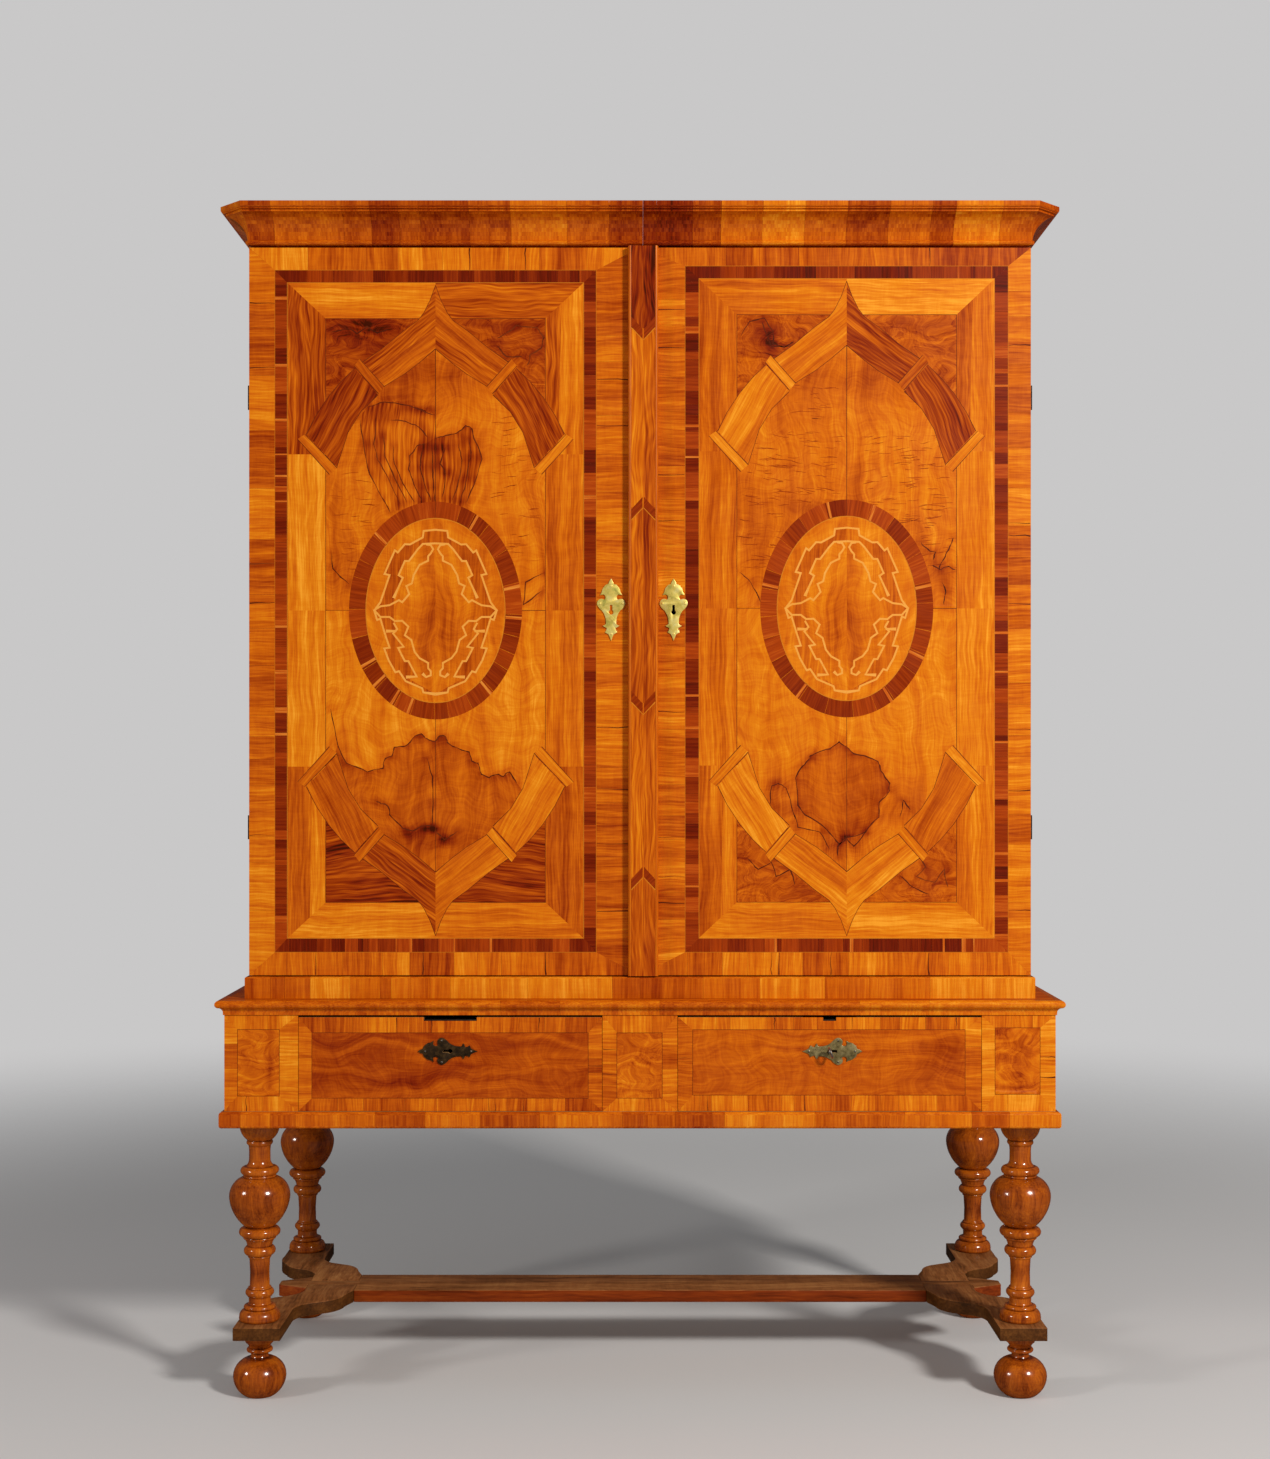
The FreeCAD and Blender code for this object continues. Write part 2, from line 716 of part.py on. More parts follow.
def lock_case(label, lock, reach, selvedge):
    """An iron case, open towards the wood, with a slot for its bolt and a pin for the key."""
    x, face, z = lock[1:]
    half = S.lock_width / 2
    inner = half - S.lock_wall
    slot_half = S.bolt_width / 2 + S.bolt_clearance
    slot_depth = (BOLT_SPAN[0] - S.bolt_clearance, BOLT_SPAN[1] + S.bolt_clearance)
    roof = S.selvedge_thickness if selvedge else 0
    shell = lock_block(label + "_shell", lock, (-half, half), (0, S.lock_depth), (-S.lock_tail, reach))
    if selvedge:
        depth = (-S.selvedge_reach, S.lock_depth)
        edge = lock_block(label + "_selvedge", lock, (-half, half), depth, (reach, reach + roof))
        shell = fuse(label + "_outer", [shell, edge])
    hold = (-S.lock_tail + S.lock_wall, reach - S.lock_wall)
    hollow_out = lock_block(label + "_hollow", lock, (-inner, inner), (0, S.lock_depth - S.lock_wall), hold)
    slot = lock_block(label + "_slot", lock, (-slot_half, slot_half), slot_depth, (hold[1], reach + roof))
    pin_span = (face + S.lock_depth - S.drill_pin_length, face + S.lock_depth)
    pin = rod(label + "_pin", "Y", S.drill_pin_diameter, pin_span, x, z)
    case = cut(label + "_open", shell, [hollow_out, slot])
    return keep(fuse(label + "_case", [case, pin]), label)


def lock_bolt(label, lock, nose):
    """A lock's bolt, drawn back."""
    half = S.bolt_width / 2
    return keep(lock_block(label + "_bar", lock, (-half, half), BOLT_SPAN, (S.bolt_heel, nose)), label)


def keyhole(name, x, z, depth, crown):
    """The shape of a keyhole through wood: a round hole, and a slot that points to the crown."""
    half = S.keyhole_slot_width / 2
    spans = {
        "up": ((x - half, x + half), (z, z + S.keyhole_slot)),
        "left": ((x - S.keyhole_slot, x), (z - half, z + half)),
        "right": ((x, x + S.keyhole_slot), (z - half, z + half)),
    }
    x_span, z_span = spans[crown]
    return [
        rod(name + "_round", "Y", S.keyhole_diameter, depth, x, z),
        box(name + "_slot", x_span, depth, z_span),
    ]


def escutcheon_face(length):
    """The plate's face in its own plane, with the key's axis at the origin."""
    right = [(w * length, h * length, bow) for w, h, bow in ESCUTCHEON_SHARES]
    edges = []
    for (x0, y0, _), (x1, y1, bow) in zip(right[:-1], right[1:]):
        edges.append(edge_between((x0, y0), (x1, y1), -bow).toShape())
        edges.append(edge_between((-x0, y0), (-x1, y1), bow).toShape())
    return Part.Face(Part.Wire(Part.sortEdges(edges)[0]))


def escutcheon(label, length, x, face, z, crown):
    """A plate with a scrolled edge, its keyhole and its nails, standing on a front face."""
    length = float(length)
    thickness = float(S.escutcheon_thickness)
    half = float(S.keyhole_slot_width) / 2
    slot = float(S.keyhole_slot)
    plate = escutcheon_face(length).extrude(Vector(0, 0, thickness))
    plate = plate.cut(Part.makeCylinder(float(S.keyhole_diameter) / 2, thickness))
    plate = plate.cut(Part.makeBox(half * 2, slot, thickness, Vector(-half, 0, 0)))
    nails = []
    for across, along in ESCUTCHEON_NAIL_SHARES:
        nail = Part.makeCone(float(S.nail_diameter) / 2, float(S.nail_diameter) / 4, float(S.nail_height))
        nail.translate(Vector(across * length, along * length, thickness))
        nails.append(nail)
    plate = plate.fuse(nails)
    feature = doc.addObject("Part::Feature", label)
    feature.Shape = plate
    turn = Rotation(Vector(0, 1, 0), CROWN_TURNS[crown])
    upright = Rotation(Vector(1, 0, 0), 90)
    feature.Placement = Placement(Vector(float(x), float(face), float(z)), turn.multiply(upright))
    return keep(feature, label)


def drawer(word, side):
    """A drawer with its lock. Its boards are plain, and its front is flush with the posts."""
    name = f"drawer_{word}"
    x_front = mirrored((CENTRE_HALF + S.drawer_side_gap, POST_INSIDE - S.drawer_side_gap), side)
    x_inside = (x_front[0] + S.drawer_board, x_front[1] - S.drawer_board)
    side_levels = (DRAWER_FLOOR, DRAWER_FLOOR + S.drawer_side_height)
    behind = (DRAWER_FRONT_BACK, DRAWER_BACK)
    key_x = DRAWER_MIDDLE * side
    front_depth = (FRIEZE, DRAWER_FRONT_BACK)
    lock_x = (key_x - S.lock_width / 2, key_x + S.lock_width / 2)
    blank = box(name + "_blank", x_front, front_depth, (FRONT_BOTTOM, FRONT_TOP))
    notch = box(name + "_notch", lock_x, front_depth, (FRONT_TOP - S.lock_notch, FRONT_TOP))
    hole = keyhole(name + "_keyhole", key_x, DRAWER_KEY_Z, front_depth, word)
    keep(cut(name + "_front_cut", blank, hole + [notch]), name + "_front")
    boards = [
        box(name + "_side_a", (x_front[0], x_inside[0]), behind, side_levels),
        box(name + "_side_b", (x_inside[1], x_front[1]), behind, side_levels),
    ]
    keep(compound(name + "_side_pair", boards), name + "_sides")
    rear = (DRAWER_BACK - S.drawer_board, DRAWER_BACK)
    keep(box(name + "_rear", x_inside, rear, (BOTTOM_TOP, side_levels[1])), name + "_back")
    keep(box(name + "_base", x_inside, behind, (BOTTOM_LEVEL, BOTTOM_TOP)), name + "_bottom")
    lock = (True, key_x, DRAWER_FRONT_BACK, DRAWER_KEY_Z)
    reach = S.drawer_key_drop - S.lock_notch
    lock_case(name + "_lock", lock, reach, True)
    lock_bolt(name + "_bolt", lock, reach + S.selvedge_thickness)
    escutcheon(name + "_escutcheon", S.drawer_escutcheon_length, key_x, FRIEZE, DRAWER_KEY_Z, word)
    return lock


drawer_locks = {word: drawer(word, side) for side, word in ((-1, "left"), (1, "right"))}


# The key in the right drawer
def key():
    """A pipe key on the lock's pin. Its bow and bit lie in one plane, part of a turn from the slot."""
    face = DRAWER_FRONT_BACK
    tip = face + S.lock_depth - S.lock_wall - S.key_end_gap
    collar = FRIEZE - S.escutcheon_thickness - S.key_stand_out
    bit_half = S.key_bit_width / 2
    bit_depth = (face + BOLT_SPAN[0], face + BOLT_SPAN[0] + S.key_bit_length)
    ring = doc.addObject("Part::Torus", "key_bow")
    ring.setExpression("Radius1", ((S.key_bow_diameter - S.key_bow_section) / 2).text)
    ring.setExpression("Radius2", (S.key_bow_section / 2).text)
    ring.setExpression("Placement.Base.y", (collar - S.key_bow_diameter / 2 + S.key_bow_section).text)
    pipe = rod("key_pipe", "Y", S.key_pipe_diameter, (collar, tip), 0, 0)
    bit = box("key_bit", (0, S.key_bit_radius), bit_depth, (-bit_half, bit_half))
    bore_diameter = S.drill_pin_diameter + S.key_pipe_clearance * 2
    pin_end = face + S.lock_depth - S.drill_pin_length
    bore = rod("key_bore", "Y", bore_diameter, (pin_end - S.key_end_gap, tip), 0, 0)
    whole = cut("key_cut", fuse("key_solid", [ring, pipe, bit]), [bore])
    whole.Placement = Placement(Vector(), Rotation(Vector(0, 1, 0), KEY_TURN_AT_REST))
    whole.setExpression("Placement.Base.x", DRAWER_MIDDLE.text)
    whole.setExpression("Placement.Base.z", DRAWER_KEY_Z.text)
    return keep(whole, "drawer_key")


key()

# Waist board, with mortises for the drawers' bolts
waist_blank = box("waist_blank", WIDE, DEEP, (WAIST_BOTTOM, CASE_BOTTOM))
mortises = []
for word, lock in drawer_locks.items():
    lock_x, lock_face = lock[1:3]
    half_mortise = S.bolt_width / 2 + S.bolt_clearance * 2
    near = lock_face + BOLT_SPAN[0] - S.bolt_clearance * 2
    far = lock_face + BOLT_SPAN[1] + S.bolt_clearance * 2
    levels = (WAIST_BOTTOM, WAIST_BOTTOM + S.mortise_depth)
    span = (lock_x - half_mortise, lock_x + half_mortise)
    mortises.append(box(f"mortise_{word}", span, (near, far), levels))
keep(cut("waist_cut", waist_blank, mortises), "stand_top")
mitred("waist_moulding", waist_profile(), STAND_HALF, FRIEZE, WAIST_BOTTOM)

# Upper case
PLINTH_FRONT = FRIEZE + S.plinth_setback + S.plinth_reach
plinth_backing = DOOR_BACK - PLINTH_FRONT
mitred("plinth_moulding", plinth_profile(), CASE_HALF, PLINTH_FRONT, CASE_BOTTOM, 1, plinth_backing)
cornice_backing = S.door_thickness + S.case_board
mitred(
    "cornice",
    cornice_profile(),
    CASE_HALF,
    DOOR_FRONT,
    CASE_TOP,
    CORNICE_CANT_SHARE,
    cornice_backing,
    S.case_board,
)
INSIDE = (-CASE_INSIDE, CASE_INSIDE)
CASE_DEEP = (DOOR_BACK, BACK_INSIDE)
shelf_step = (CASE_CEILING - CASE_FLOOR) / (SHELF_COUNT + 1)
shelf_levels = []
for index in range(1, SHELF_COUNT + 1):
    level = CASE_FLOOR + shelf_step * index
    shelf_levels.append((level - S.shelf_thickness, level))
SHELF_DEEP = (DOOR_BACK + S.shelf_setback, BACK_INSIDE)
SHELF_HALF = CASE_INSIDE + S.shelf_housing
for word, levels in zip(("lower", "middle", "upper"), shelf_levels):
    keep(box(f"shelf_board_{word}", (-SHELF_HALF, SHELF_HALF), SHELF_DEEP, levels), f"shelf_{word}")

# Hinges: each has a leaf let into the case and a leaf let into the door, on a pin at the door's
# outer back corner
PIVOT_X = CASE_HALF + S.knuckle_diameter / 2 + S.knuckle_gap
HINGE_LOWS = (DOOR_BOTTOM + S.hinge_inset, DOOR_TOP - S.hinge_inset - S.hinge_height)


def leaf_block(name, side, low, width, depth):
    """The flat of a leaf, from the pivot's line to its inner edge."""
    levels = (low, low + S.hinge_height)
    return box(name, mirrored((CASE_HALF - width, PIVOT_X), side), depth, levels)


def recesses(name, side, width, depth):
    """The spaces that are cut in the wood for the leaves."""
    span = mirrored((CASE_HALF - width, CASE_HALF), side)
    return [
        box(f"{name}_{index}", span, depth, (low, low + S.hinge_height))
        for index, low in enumerate(HINGE_LOWS)
    ]


FIXED_DEPTH = (DOOR_BACK, DOOR_BACK + S.leaf_thickness)
SWING_DEPTH = (DOOR_BACK - S.leaf_thickness, DOOR_BACK)
HINGE_BORE = S.pin_diameter + S.pin_clearance * 2
NOTCH_DIAMETER = S.knuckle_diameter + S.knuckle_gap * 2
fixed_leaves = []
for side, word in ((-1, "left"), (1, "right")):
    swing_leaves = []
    for index, low in enumerate(HINGE_LOWS):
        name = f"hinge_{word}_{index}"
        middle = low + S.hinge_height / 2
        high = low + S.hinge_height
        pivot = PIVOT_X * side
        clear = (middle, high)
        fixed = leaf_block(name + "_fixed", side, low, S.fixed_leaf_width, FIXED_DEPTH)
        notch = rod(name + "_fixed_notch", "Z", NOTCH_DIAMETER, clear, pivot, DOOR_BACK)
        lower = rod(name + "_lower", "Z", S.knuckle_diameter, (low, middle), pivot, DOOR_BACK)
        pin = rod(name + "_pin", "Z", S.pin_diameter, (low, high), pivot, DOOR_BACK)
        body = cut(name + "_fixed_flat", fixed, [notch])
        fixed_leaves.append(fuse(name + "_fixed_leaf", [body, lower, pin]))
        swing = leaf_block(name + "_swing", side, low, S.door_leaf_width, SWING_DEPTH)
        room = (low, middle)
        gap = rod(name + "_swing_notch", "Z", NOTCH_DIAMETER, room, pivot, DOOR_BACK)
        upper = rod(name + "_upper", "Z", S.knuckle_diameter, clear, pivot, DOOR_BACK)
        bore = rod(name + "_bore", "Z", HINGE_BORE, (low, high), pivot, DOOR_BACK)
        flat = cut(name + "_swing_flat", swing, [gap])
        swing_leaves.append(cut(name + "_swing_leaf", fuse(name + "_swing_solid", [flat, upper]), [bore]))
    keep(compound(f"hinges_{word}", swing_leaves), f"door_{word}_hinges")
keep(compound("hinges_fixed", fixed_leaves), "case_hinges")

for side, word in ((-1, "left"), (1, "right")):
    span = mirrored((CASE_INSIDE, CASE_HALF), side)
    housing = mirrored((CASE_INSIDE, SHELF_HALF), side)
    blank = box(f"case_blank_{word}", span, CASE_DEEP, (CASE_BOTTOM, CASE_TOP))
    tools = [
        box(f"housing_{word}_{index}", housing, SHELF_DEEP, levels)
        for index, levels in enumerate(shelf_levels)
    ]
    tools += recesses(f"case_recess_{word}", side, S.fixed_leaf_width, FIXED_DEPTH)
    keep(cut(f"case_cut_{word}", blank, tools), f"case_side_{word}")

# Surface bolts of the left door, each a bar that slides in a plate's staples
SLIDE_X = -S.slide_inset
SLIDE_HALF = S.slide_bar_width / 2
PLATE_FACE = DOOR_BACK + S.slide_plate_thickness
BAR_DEPTH = (PLATE_FACE + S.slide_clearance, PLATE_FACE + S.slide_clearance + S.slide_bar_thickness)
SOCKET_GROWTH = S.slide_clearance * 2


def socket(name, levels):
    """A socket in the case's floor or ceiling for a bolt's end."""
    half = SLIDE_HALF + SOCKET_GROWTH
    depth = (BAR_DEPTH[0] - SOCKET_GROWTH, BAR_DEPTH[1] + SOCKET_GROWTH)
    return box(name, (SLIDE_X - half, SLIDE_X + half), depth, levels)


def staple(name, low):
    """A loop over the bar, standing on the plate."""
    outer = SLIDE_HALF + S.slide_clearance + S.slide_staple
    inner = SLIDE_HALF + S.slide_clearance
    levels = (low, low + S.slide_staple_height)
    top = BAR_DEPTH[1] + S.slide_clearance
    block = box(name, (SLIDE_X - outer, SLIDE_X + outer), (PLATE_FACE, top + S.slide_staple), levels)
    way = box(name + "_way", (SLIDE_X - inner, SLIDE_X + inner), (PLATE_FACE, top), levels)
    return cut(name + "_loop", block, [way])


def slide_plate(name, low):
    """A plate with two staples."""
    half = S.slide_plate_width / 2
    high = low + S.slide_plate_length
    plate = box(name, (SLIDE_X - half, SLIDE_X + half), (DOOR_BACK, PLATE_FACE), (low, high))
    loops = [staple(name + "_low", low), staple(name + "_high", high - S.slide_staple_height)]
    return fuse(name + "_plate", [plate] + loops)


TOP_BAR_END = CASE_CEILING - S.slide_gap
LOW_BAR_END = CASE_FLOOR + S.slide_gap
case_bottom_blank = box("case_bottom_blank", INSIDE, CASE_DEEP, (CASE_FLOOR - S.case_board, CASE_FLOOR))
low_socket = socket("low_socket", (CASE_FLOOR - S.slide_socket, CASE_FLOOR))
keep(cut("case_bottom_cut", case_bottom_blank, [low_socket]), "case_bottom")
case_top_blank = box("case_top_blank", INSIDE, CASE_DEEP, (CASE_CEILING, CASE_TOP))
top_socket = socket("top_socket", (CASE_CEILING, CASE_CEILING + S.slide_socket))
keep(cut("case_top_cut", case_top_blank, [top_socket]), "case_top")
plank = CASE_HALF * 2 / PLANK_COUNT
planks = [
    box(
        f"plank_{index}",
        (-CASE_HALF + plank * index, -CASE_HALF + plank * (index + 1)),
        (BACK_INSIDE, BACK),
        (CASE_BOTTOM, CASE_TOP),
    )
    for index in range(PLANK_COUNT)
]
keep(compound("planks", planks), "case_back")

BAR_X = (SLIDE_X - SLIDE_HALF, SLIDE_X + SLIDE_HALF)
BAR_MARGIN = (S.slide_bar_length - S.slide_plate_length) / 2


def slide_bar(label, low):
    """A surface bolt's bar, drawn back, with its knob."""
    middle = low + S.slide_bar_length / 2
    bar = box(label + "_bar", BAR_X, BAR_DEPTH, (low, low + S.slide_bar_length))
    knob_span = (BAR_DEPTH[0], BAR_DEPTH[1] + S.slide_knob_length)
    knob = rod(label + "_knob", "Y", S.slide_knob_diameter, knob_span, SLIDE_X, middle)
    return keep(fuse(label + "_whole", [bar, knob]), label)


TOP_BAR_LOW = TOP_BAR_END - S.slide_bar_length
slide_bar("door_top_bolt", TOP_BAR_LOW)
slide_bar("door_bottom_bolt", LOW_BAR_END)


def keeper():
    """The keep that the right door's bolt enters, open towards that door."""
    inner = S.bolt_width / 2 + S.bolt_clearance * 2
    outer = inner + S.lock_wall
    near = -S.keep_inset
    far = near - S.keep_width
    levels = (S.door_key_height - outer, S.door_key_height + outer)
    shell = box("keep_shell", (far, near), (DOOR_BACK, DOOR_BACK + S.lock_depth), levels)
    room_levels = (S.door_key_height - inner, S.door_key_height + inner)
    room_depth = (DOOR_BACK, DOOR_BACK + S.lock_depth - S.lock_wall)
    room = box("keep_room", (far + S.lock_wall, near), room_depth, room_levels)
    return cut("keep_cut", shell, [room])


irons = [
    slide_plate("top_slide", TOP_BAR_LOW + BAR_MARGIN),
    slide_plate("low_slide", LOW_BAR_END + BAR_MARGIN),
    keeper(),
]
keep(compound("irons", irons), "door_left_irons")

# Doors
DOOR_DEPTH = (DOOR_FRONT, DOOR_BACK)
DOOR_LEVELS = (DOOR_BOTTOM, DOOR_TOP)
for side, word in ((-1, "left"), (1, "right")):
    name = f"door_{word}"
    key_x = S.door_key_inset * side
    span = mirrored((S.door_meeting_gap / 2, CASE_HALF), side)
    blank = box(name + "_blank", span, DOOR_DEPTH, DOOR_LEVELS)
    tools = recesses(name + "_recess", side, S.door_leaf_width, SWING_DEPTH)
    if side > 0:
        tools += keyhole(name + "_keyhole", key_x, S.door_key_height, DOOR_DEPTH, "up")
    keep(cut(name + "_cut", blank, tools), name + "_panel")
    plate_x = key_x if side > 0 else -S.left_plate_inset
    escutcheon(name + "_escutcheon", S.escutcheon_length, plate_x, DOOR_FRONT, S.door_key_height, "up")
door_lock = (False, S.door_key_inset, DOOR_BACK, S.door_key_height)
lock_case("door_right_lock", door_lock, S.door_lock_reach, False)
lock_bolt("door_lock_bolt", door_lock, S.door_lock_reach)


def astragal_points():
    """Section of the strip that covers the doors' meeting, with its front edges rounded."""
    left = -S.astragal_lap
    right = left + S.astragal_width
    front = DOOR_FRONT - S.astragal_thickness
    edge = S.astragal_round
    quarter = math.tan(math.pi / 8)
    rear = [(right, DOOR_FRONT, 0), (left, DOOR_FRONT, 0), (left, front + edge, 0)]
    face = [(left + edge, front, quarter), (right - edge, front, 0), (right, front + edge, quarter)]
    return rear + face


keep(padded("astragal", astragal_points(), DOOR_BOTTOM, S.door_height), "door_astragal")

# Build, check and write every sub-part
doc.recompute()
for thing in doc.Objects:
    if "Invalid" in thing.State or "Error" in thing.State:
        raise RuntimeError(f"{thing.Name} did not build: {thing.State}")
os.makedirs("parts", exist_ok=True)
for thing in nodes:
    if thing.Shape.isNull() or not thing.Shape.isValid() or not thing.Shape.Solids:
        raise RuntimeError(f"{thing.Label} has no sound solid")
    thing.Shape.exportStep(f"parts/{thing.Label}.step")
print(len(nodes), "sub-parts written")
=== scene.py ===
import math
from random import Random

import bmesh
import bpy
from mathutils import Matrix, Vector


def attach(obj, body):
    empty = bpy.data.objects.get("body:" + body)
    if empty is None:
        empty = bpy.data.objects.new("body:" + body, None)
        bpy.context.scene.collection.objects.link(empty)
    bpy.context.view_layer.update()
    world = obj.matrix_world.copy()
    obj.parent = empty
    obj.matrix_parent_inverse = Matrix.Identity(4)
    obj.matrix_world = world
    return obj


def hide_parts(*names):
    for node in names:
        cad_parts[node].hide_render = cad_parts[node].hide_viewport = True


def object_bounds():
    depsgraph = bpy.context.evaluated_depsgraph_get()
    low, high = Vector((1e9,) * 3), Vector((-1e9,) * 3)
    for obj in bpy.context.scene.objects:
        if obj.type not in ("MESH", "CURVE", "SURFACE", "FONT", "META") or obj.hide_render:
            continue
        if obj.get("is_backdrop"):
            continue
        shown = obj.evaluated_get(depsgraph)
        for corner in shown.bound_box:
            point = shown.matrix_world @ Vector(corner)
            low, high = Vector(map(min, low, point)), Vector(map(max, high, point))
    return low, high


# A two-door cabinet on a stand, veneered in walnut with crossbanding, strapwork and an oval on
# each door. Veneers are thin plates laid on a core, 1 mm in from each true face.
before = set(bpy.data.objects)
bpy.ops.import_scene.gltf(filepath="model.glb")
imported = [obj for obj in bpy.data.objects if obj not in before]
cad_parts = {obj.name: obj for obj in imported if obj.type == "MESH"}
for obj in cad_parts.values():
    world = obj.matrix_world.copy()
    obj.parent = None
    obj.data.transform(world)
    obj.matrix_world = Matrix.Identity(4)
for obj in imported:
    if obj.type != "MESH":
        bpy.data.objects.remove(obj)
size_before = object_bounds()

MM = 0.001
X, Y, Z = Vector((1, 0, 0)), Vector((0, 1, 0)), Vector((0, 0, 1))
# How far a veneered board's core lies below its true face, in mm
CORE = 1.0
# How far each veneer keeps from the joint with the next one, in mm
JOINT_GAP = 0.12
# The level of the leaves and borders. Every level is the depth of a plate's face below the true
# face, in mm. Plates that overlap have levels of their own, the finer ones nearer to the face
LEAF_LEVEL = 0.5
# Faces and heights that several pieces share, in mm
DOOR_FACE, COVER_FACE, FRIEZE_FACE, REAR_FACE = -262, -277, -296, 310
CASE_HALF, CASE_LOW, CASE_HIGH = 663.5, 680, 1957
STAND_HALF, FRIEZE_LOW, FRIEZE_HIGH = 698.5, 493, 655
DOOR_LOW, DOOR_HIGH = 718, 1953


# Finishes
def linear(code):
    """A colour written as sRGB hex, as the linear numbers that a shader takes."""
    parts = [int(code[i:i + 2], 16) / 255 for i in (1, 3, 5)]
    return [p / 12.92 if p <= 0.04045 else ((p + 0.055) / 1.055) ** 2.4 for p in parts] + [1]


def add_node(tree, kind, inputs=None, stops=(), **settings):
    """A shader node. Its inputs are numbers, or the sockets that they are linked to.

    Stops are the places and hex colours of a ramp, in rising order.
    """
    made = tree.nodes.new("ShaderNode" + kind)
    for key, value in settings.items():
        setattr(made, key, value)
    for key, value in (inputs or {}).items():
        if isinstance(value, bpy.types.NodeSocket):
            tree.links.new(value, made.inputs[key])
        else:
            made.inputs[key].default_value = value
    for number, (place, code) in enumerate(stops):
        elements = made.color_ramp.elements
        element = elements[number] if number < len(elements) else elements.new(place)
        element.position = place
        element.color = linear(code)
    return made


def new_material(name):
    made = bpy.data.materials.new(name)
    made.use_nodes = True
    return made, made.node_tree, made.node_tree.nodes["Principled BSDF"]


def noise(tree, vector, scales, detail=2.0, roughness=0.5, output=0):
    """Noise stretched along the grain, as values, or as vectors from output 1.

    The scales are features per metre along each axis.
    """
    stretched = add_node(tree, "Mapping", {"Vector": vector, "Scale": scales}).outputs[0]
    inputs = {0: stretched, "Scale": 1, "Detail": detail, "Roughness": roughness}
    return add_node(tree, "TexNoise", inputs).outputs[output]


def surface(tree, shader, wear, roughness, height, strength, depth):
    """Give a finish a roughness that goes with its wear, and a fine unevenness of a depth in metres."""
    rough = add_node(tree, "MapRange", {0: wear, 1: 0.3, 2: 0.7, 3: roughness[0], 4: roughness[1]})
    tree.links.new(rough.outputs[0], shader.inputs["Roughness"])
    bump = add_node(tree, "Bump", {"Strength": strength, "Distance": depth, "Height": height})
    tree.links.new(bump.outputs[0], shader.inputs["Normal"])


def wood(name, colours, figure=0.3, streaks=0.2, fine=0.1, flame=0.0, veins=0.0, rings=0.0, warp=0.01,
         gloss=0.34, shine=0.1, axis=None, spread=1.0):
    """Wood whose colour runs from dark to light with each piece's tone and its own grain.

    Figure is broad bands, streaks are narrow ones, rings are the growth lines, flame is shimmer
    across the grain, and veins are the thin dark lines of a burr. It reads the piece's grain map,
    or with an axis its place.
    """
    made, tree, shader = new_material(name)
    total = add_node(tree, "Attribute", attribute_name="tone").outputs["Fac"]
    if axis is None:
        place = add_node(tree, "UVMap", uv_map="grain").outputs[0]
    else:
        place = add_node(tree, "TexCoord").outputs["Object"]

    def scales(along, across):
        if axis is None:
            return (along * spread, across * spread, 1)
        return [(along if i == axis else across) * spread for i in range(3)]

    bend = noise(tree, place, scales(7, 11), output=1)
    aside = add_node(tree, "VectorMath", {0: bend, 1: (0.5, 0.5, 0.5)}, operation="SUBTRACT")
    push = add_node(tree, "VectorMath", {0: aside.outputs[0], "Scale": warp * 2}, operation="SCALE")
    bent = add_node(tree, "VectorMath", {0: place, 1: push.outputs[0]}, operation="ADD").outputs[0]
    parts = (
        (figure, bent, (3, 46), 3.0),
        (streaks, bent, (9, 260), 2.0),
        (fine, place, (40, 620), 1.0),
        (flame, bent, (60, 12), 2.0),
        (flame * 0.9, bent, (290, 26), 2.0),
    )
    for strength, vector, (along, across), detail in parts:
        if strength:
            value = noise(tree, vector, scales(along, across), detail)
            middle = add_node(tree, "Math", {0: value, 1: 0.5}, operation="SUBTRACT").outputs[0]
            sums = {0: middle, 1: strength * 2, 2: total}
            total = add_node(tree, "Math", sums, operation="MULTIPLY_ADD").outputs[0]
    if rings:
        field = noise(tree, bent, scales(1.6, 9), 1.5)
        angle = add_node(tree, "Math", {0: field, 1: 210.0}, operation="MULTIPLY").outputs[0]
        wave = add_node(tree, "Math", {0: angle}, operation="SINE").outputs[0]
        total = add_node(tree, "Math", {0: wave, 1: rings, 2: total}, operation="MULTIPLY_ADD").outputs[0]
    if veins:
        field = noise(tree, bent, scales(9, 16), 5.0, 0.62)
        folds = add_node(tree, "Math", {0: field, 1: 9.0}, operation="MULTIPLY").outputs[0]
        edge = add_node(tree, "Math", {0: folds, 1: 1.0}, operation="PINGPONG").outputs[0]
        line = add_node(tree, "MapRange", {0: edge, 1: 0.0, 2: 0.22, 3: -veins, 4: 0.0}).outputs[0]
        total = add_node(tree, "Math", {0: total, 1: line}, operation="ADD").outputs[0]
    stops = [(i / (len(colours) - 1), code) for i, code in enumerate(colours)]
    tree.links.new(add_node(tree, "ValToRGB", {0: total}, stops).outputs[0], shader.inputs["Base Color"])
    shader.inputs["Specular IOR Level"].default_value = shine
    wear = noise(tree, place, scales(14, 20), 3.0)
    ripple = noise(tree, place, scales(20, 90))
    surface(tree, shader, wear, (gloss - 0.05, gloss + 0.08), ripple, 0.25, 0.0004)
    return made


def metal(name, colours, metallic, roughness, scale):
    """Metal with patches of tarnish. The scale is patches per metre."""
    made, tree, shader = new_material(name)
    place = add_node(tree, "TexCoord").outputs["Object"]
    patches = noise(tree, place, (scale,) * 3, 4.0, 0.6)
    stops = [(0.3 + 0.4 * i / (len(colours) - 1), code) for i, code in enumerate(colours)]
    tree.links.new(add_node(tree, "ValToRGB", {0: patches}, stops).outputs[0], shader.inputs["Base Color"])
    shader.inputs["Metallic"].default_value = metallic
    dents = noise(tree, place, (scale * 2.5,) * 3, 3.0)
    surface(tree, shader, patches, (roughness + 0.12, roughness - 0.05), dents, 0.35, 0.0005)
    return made


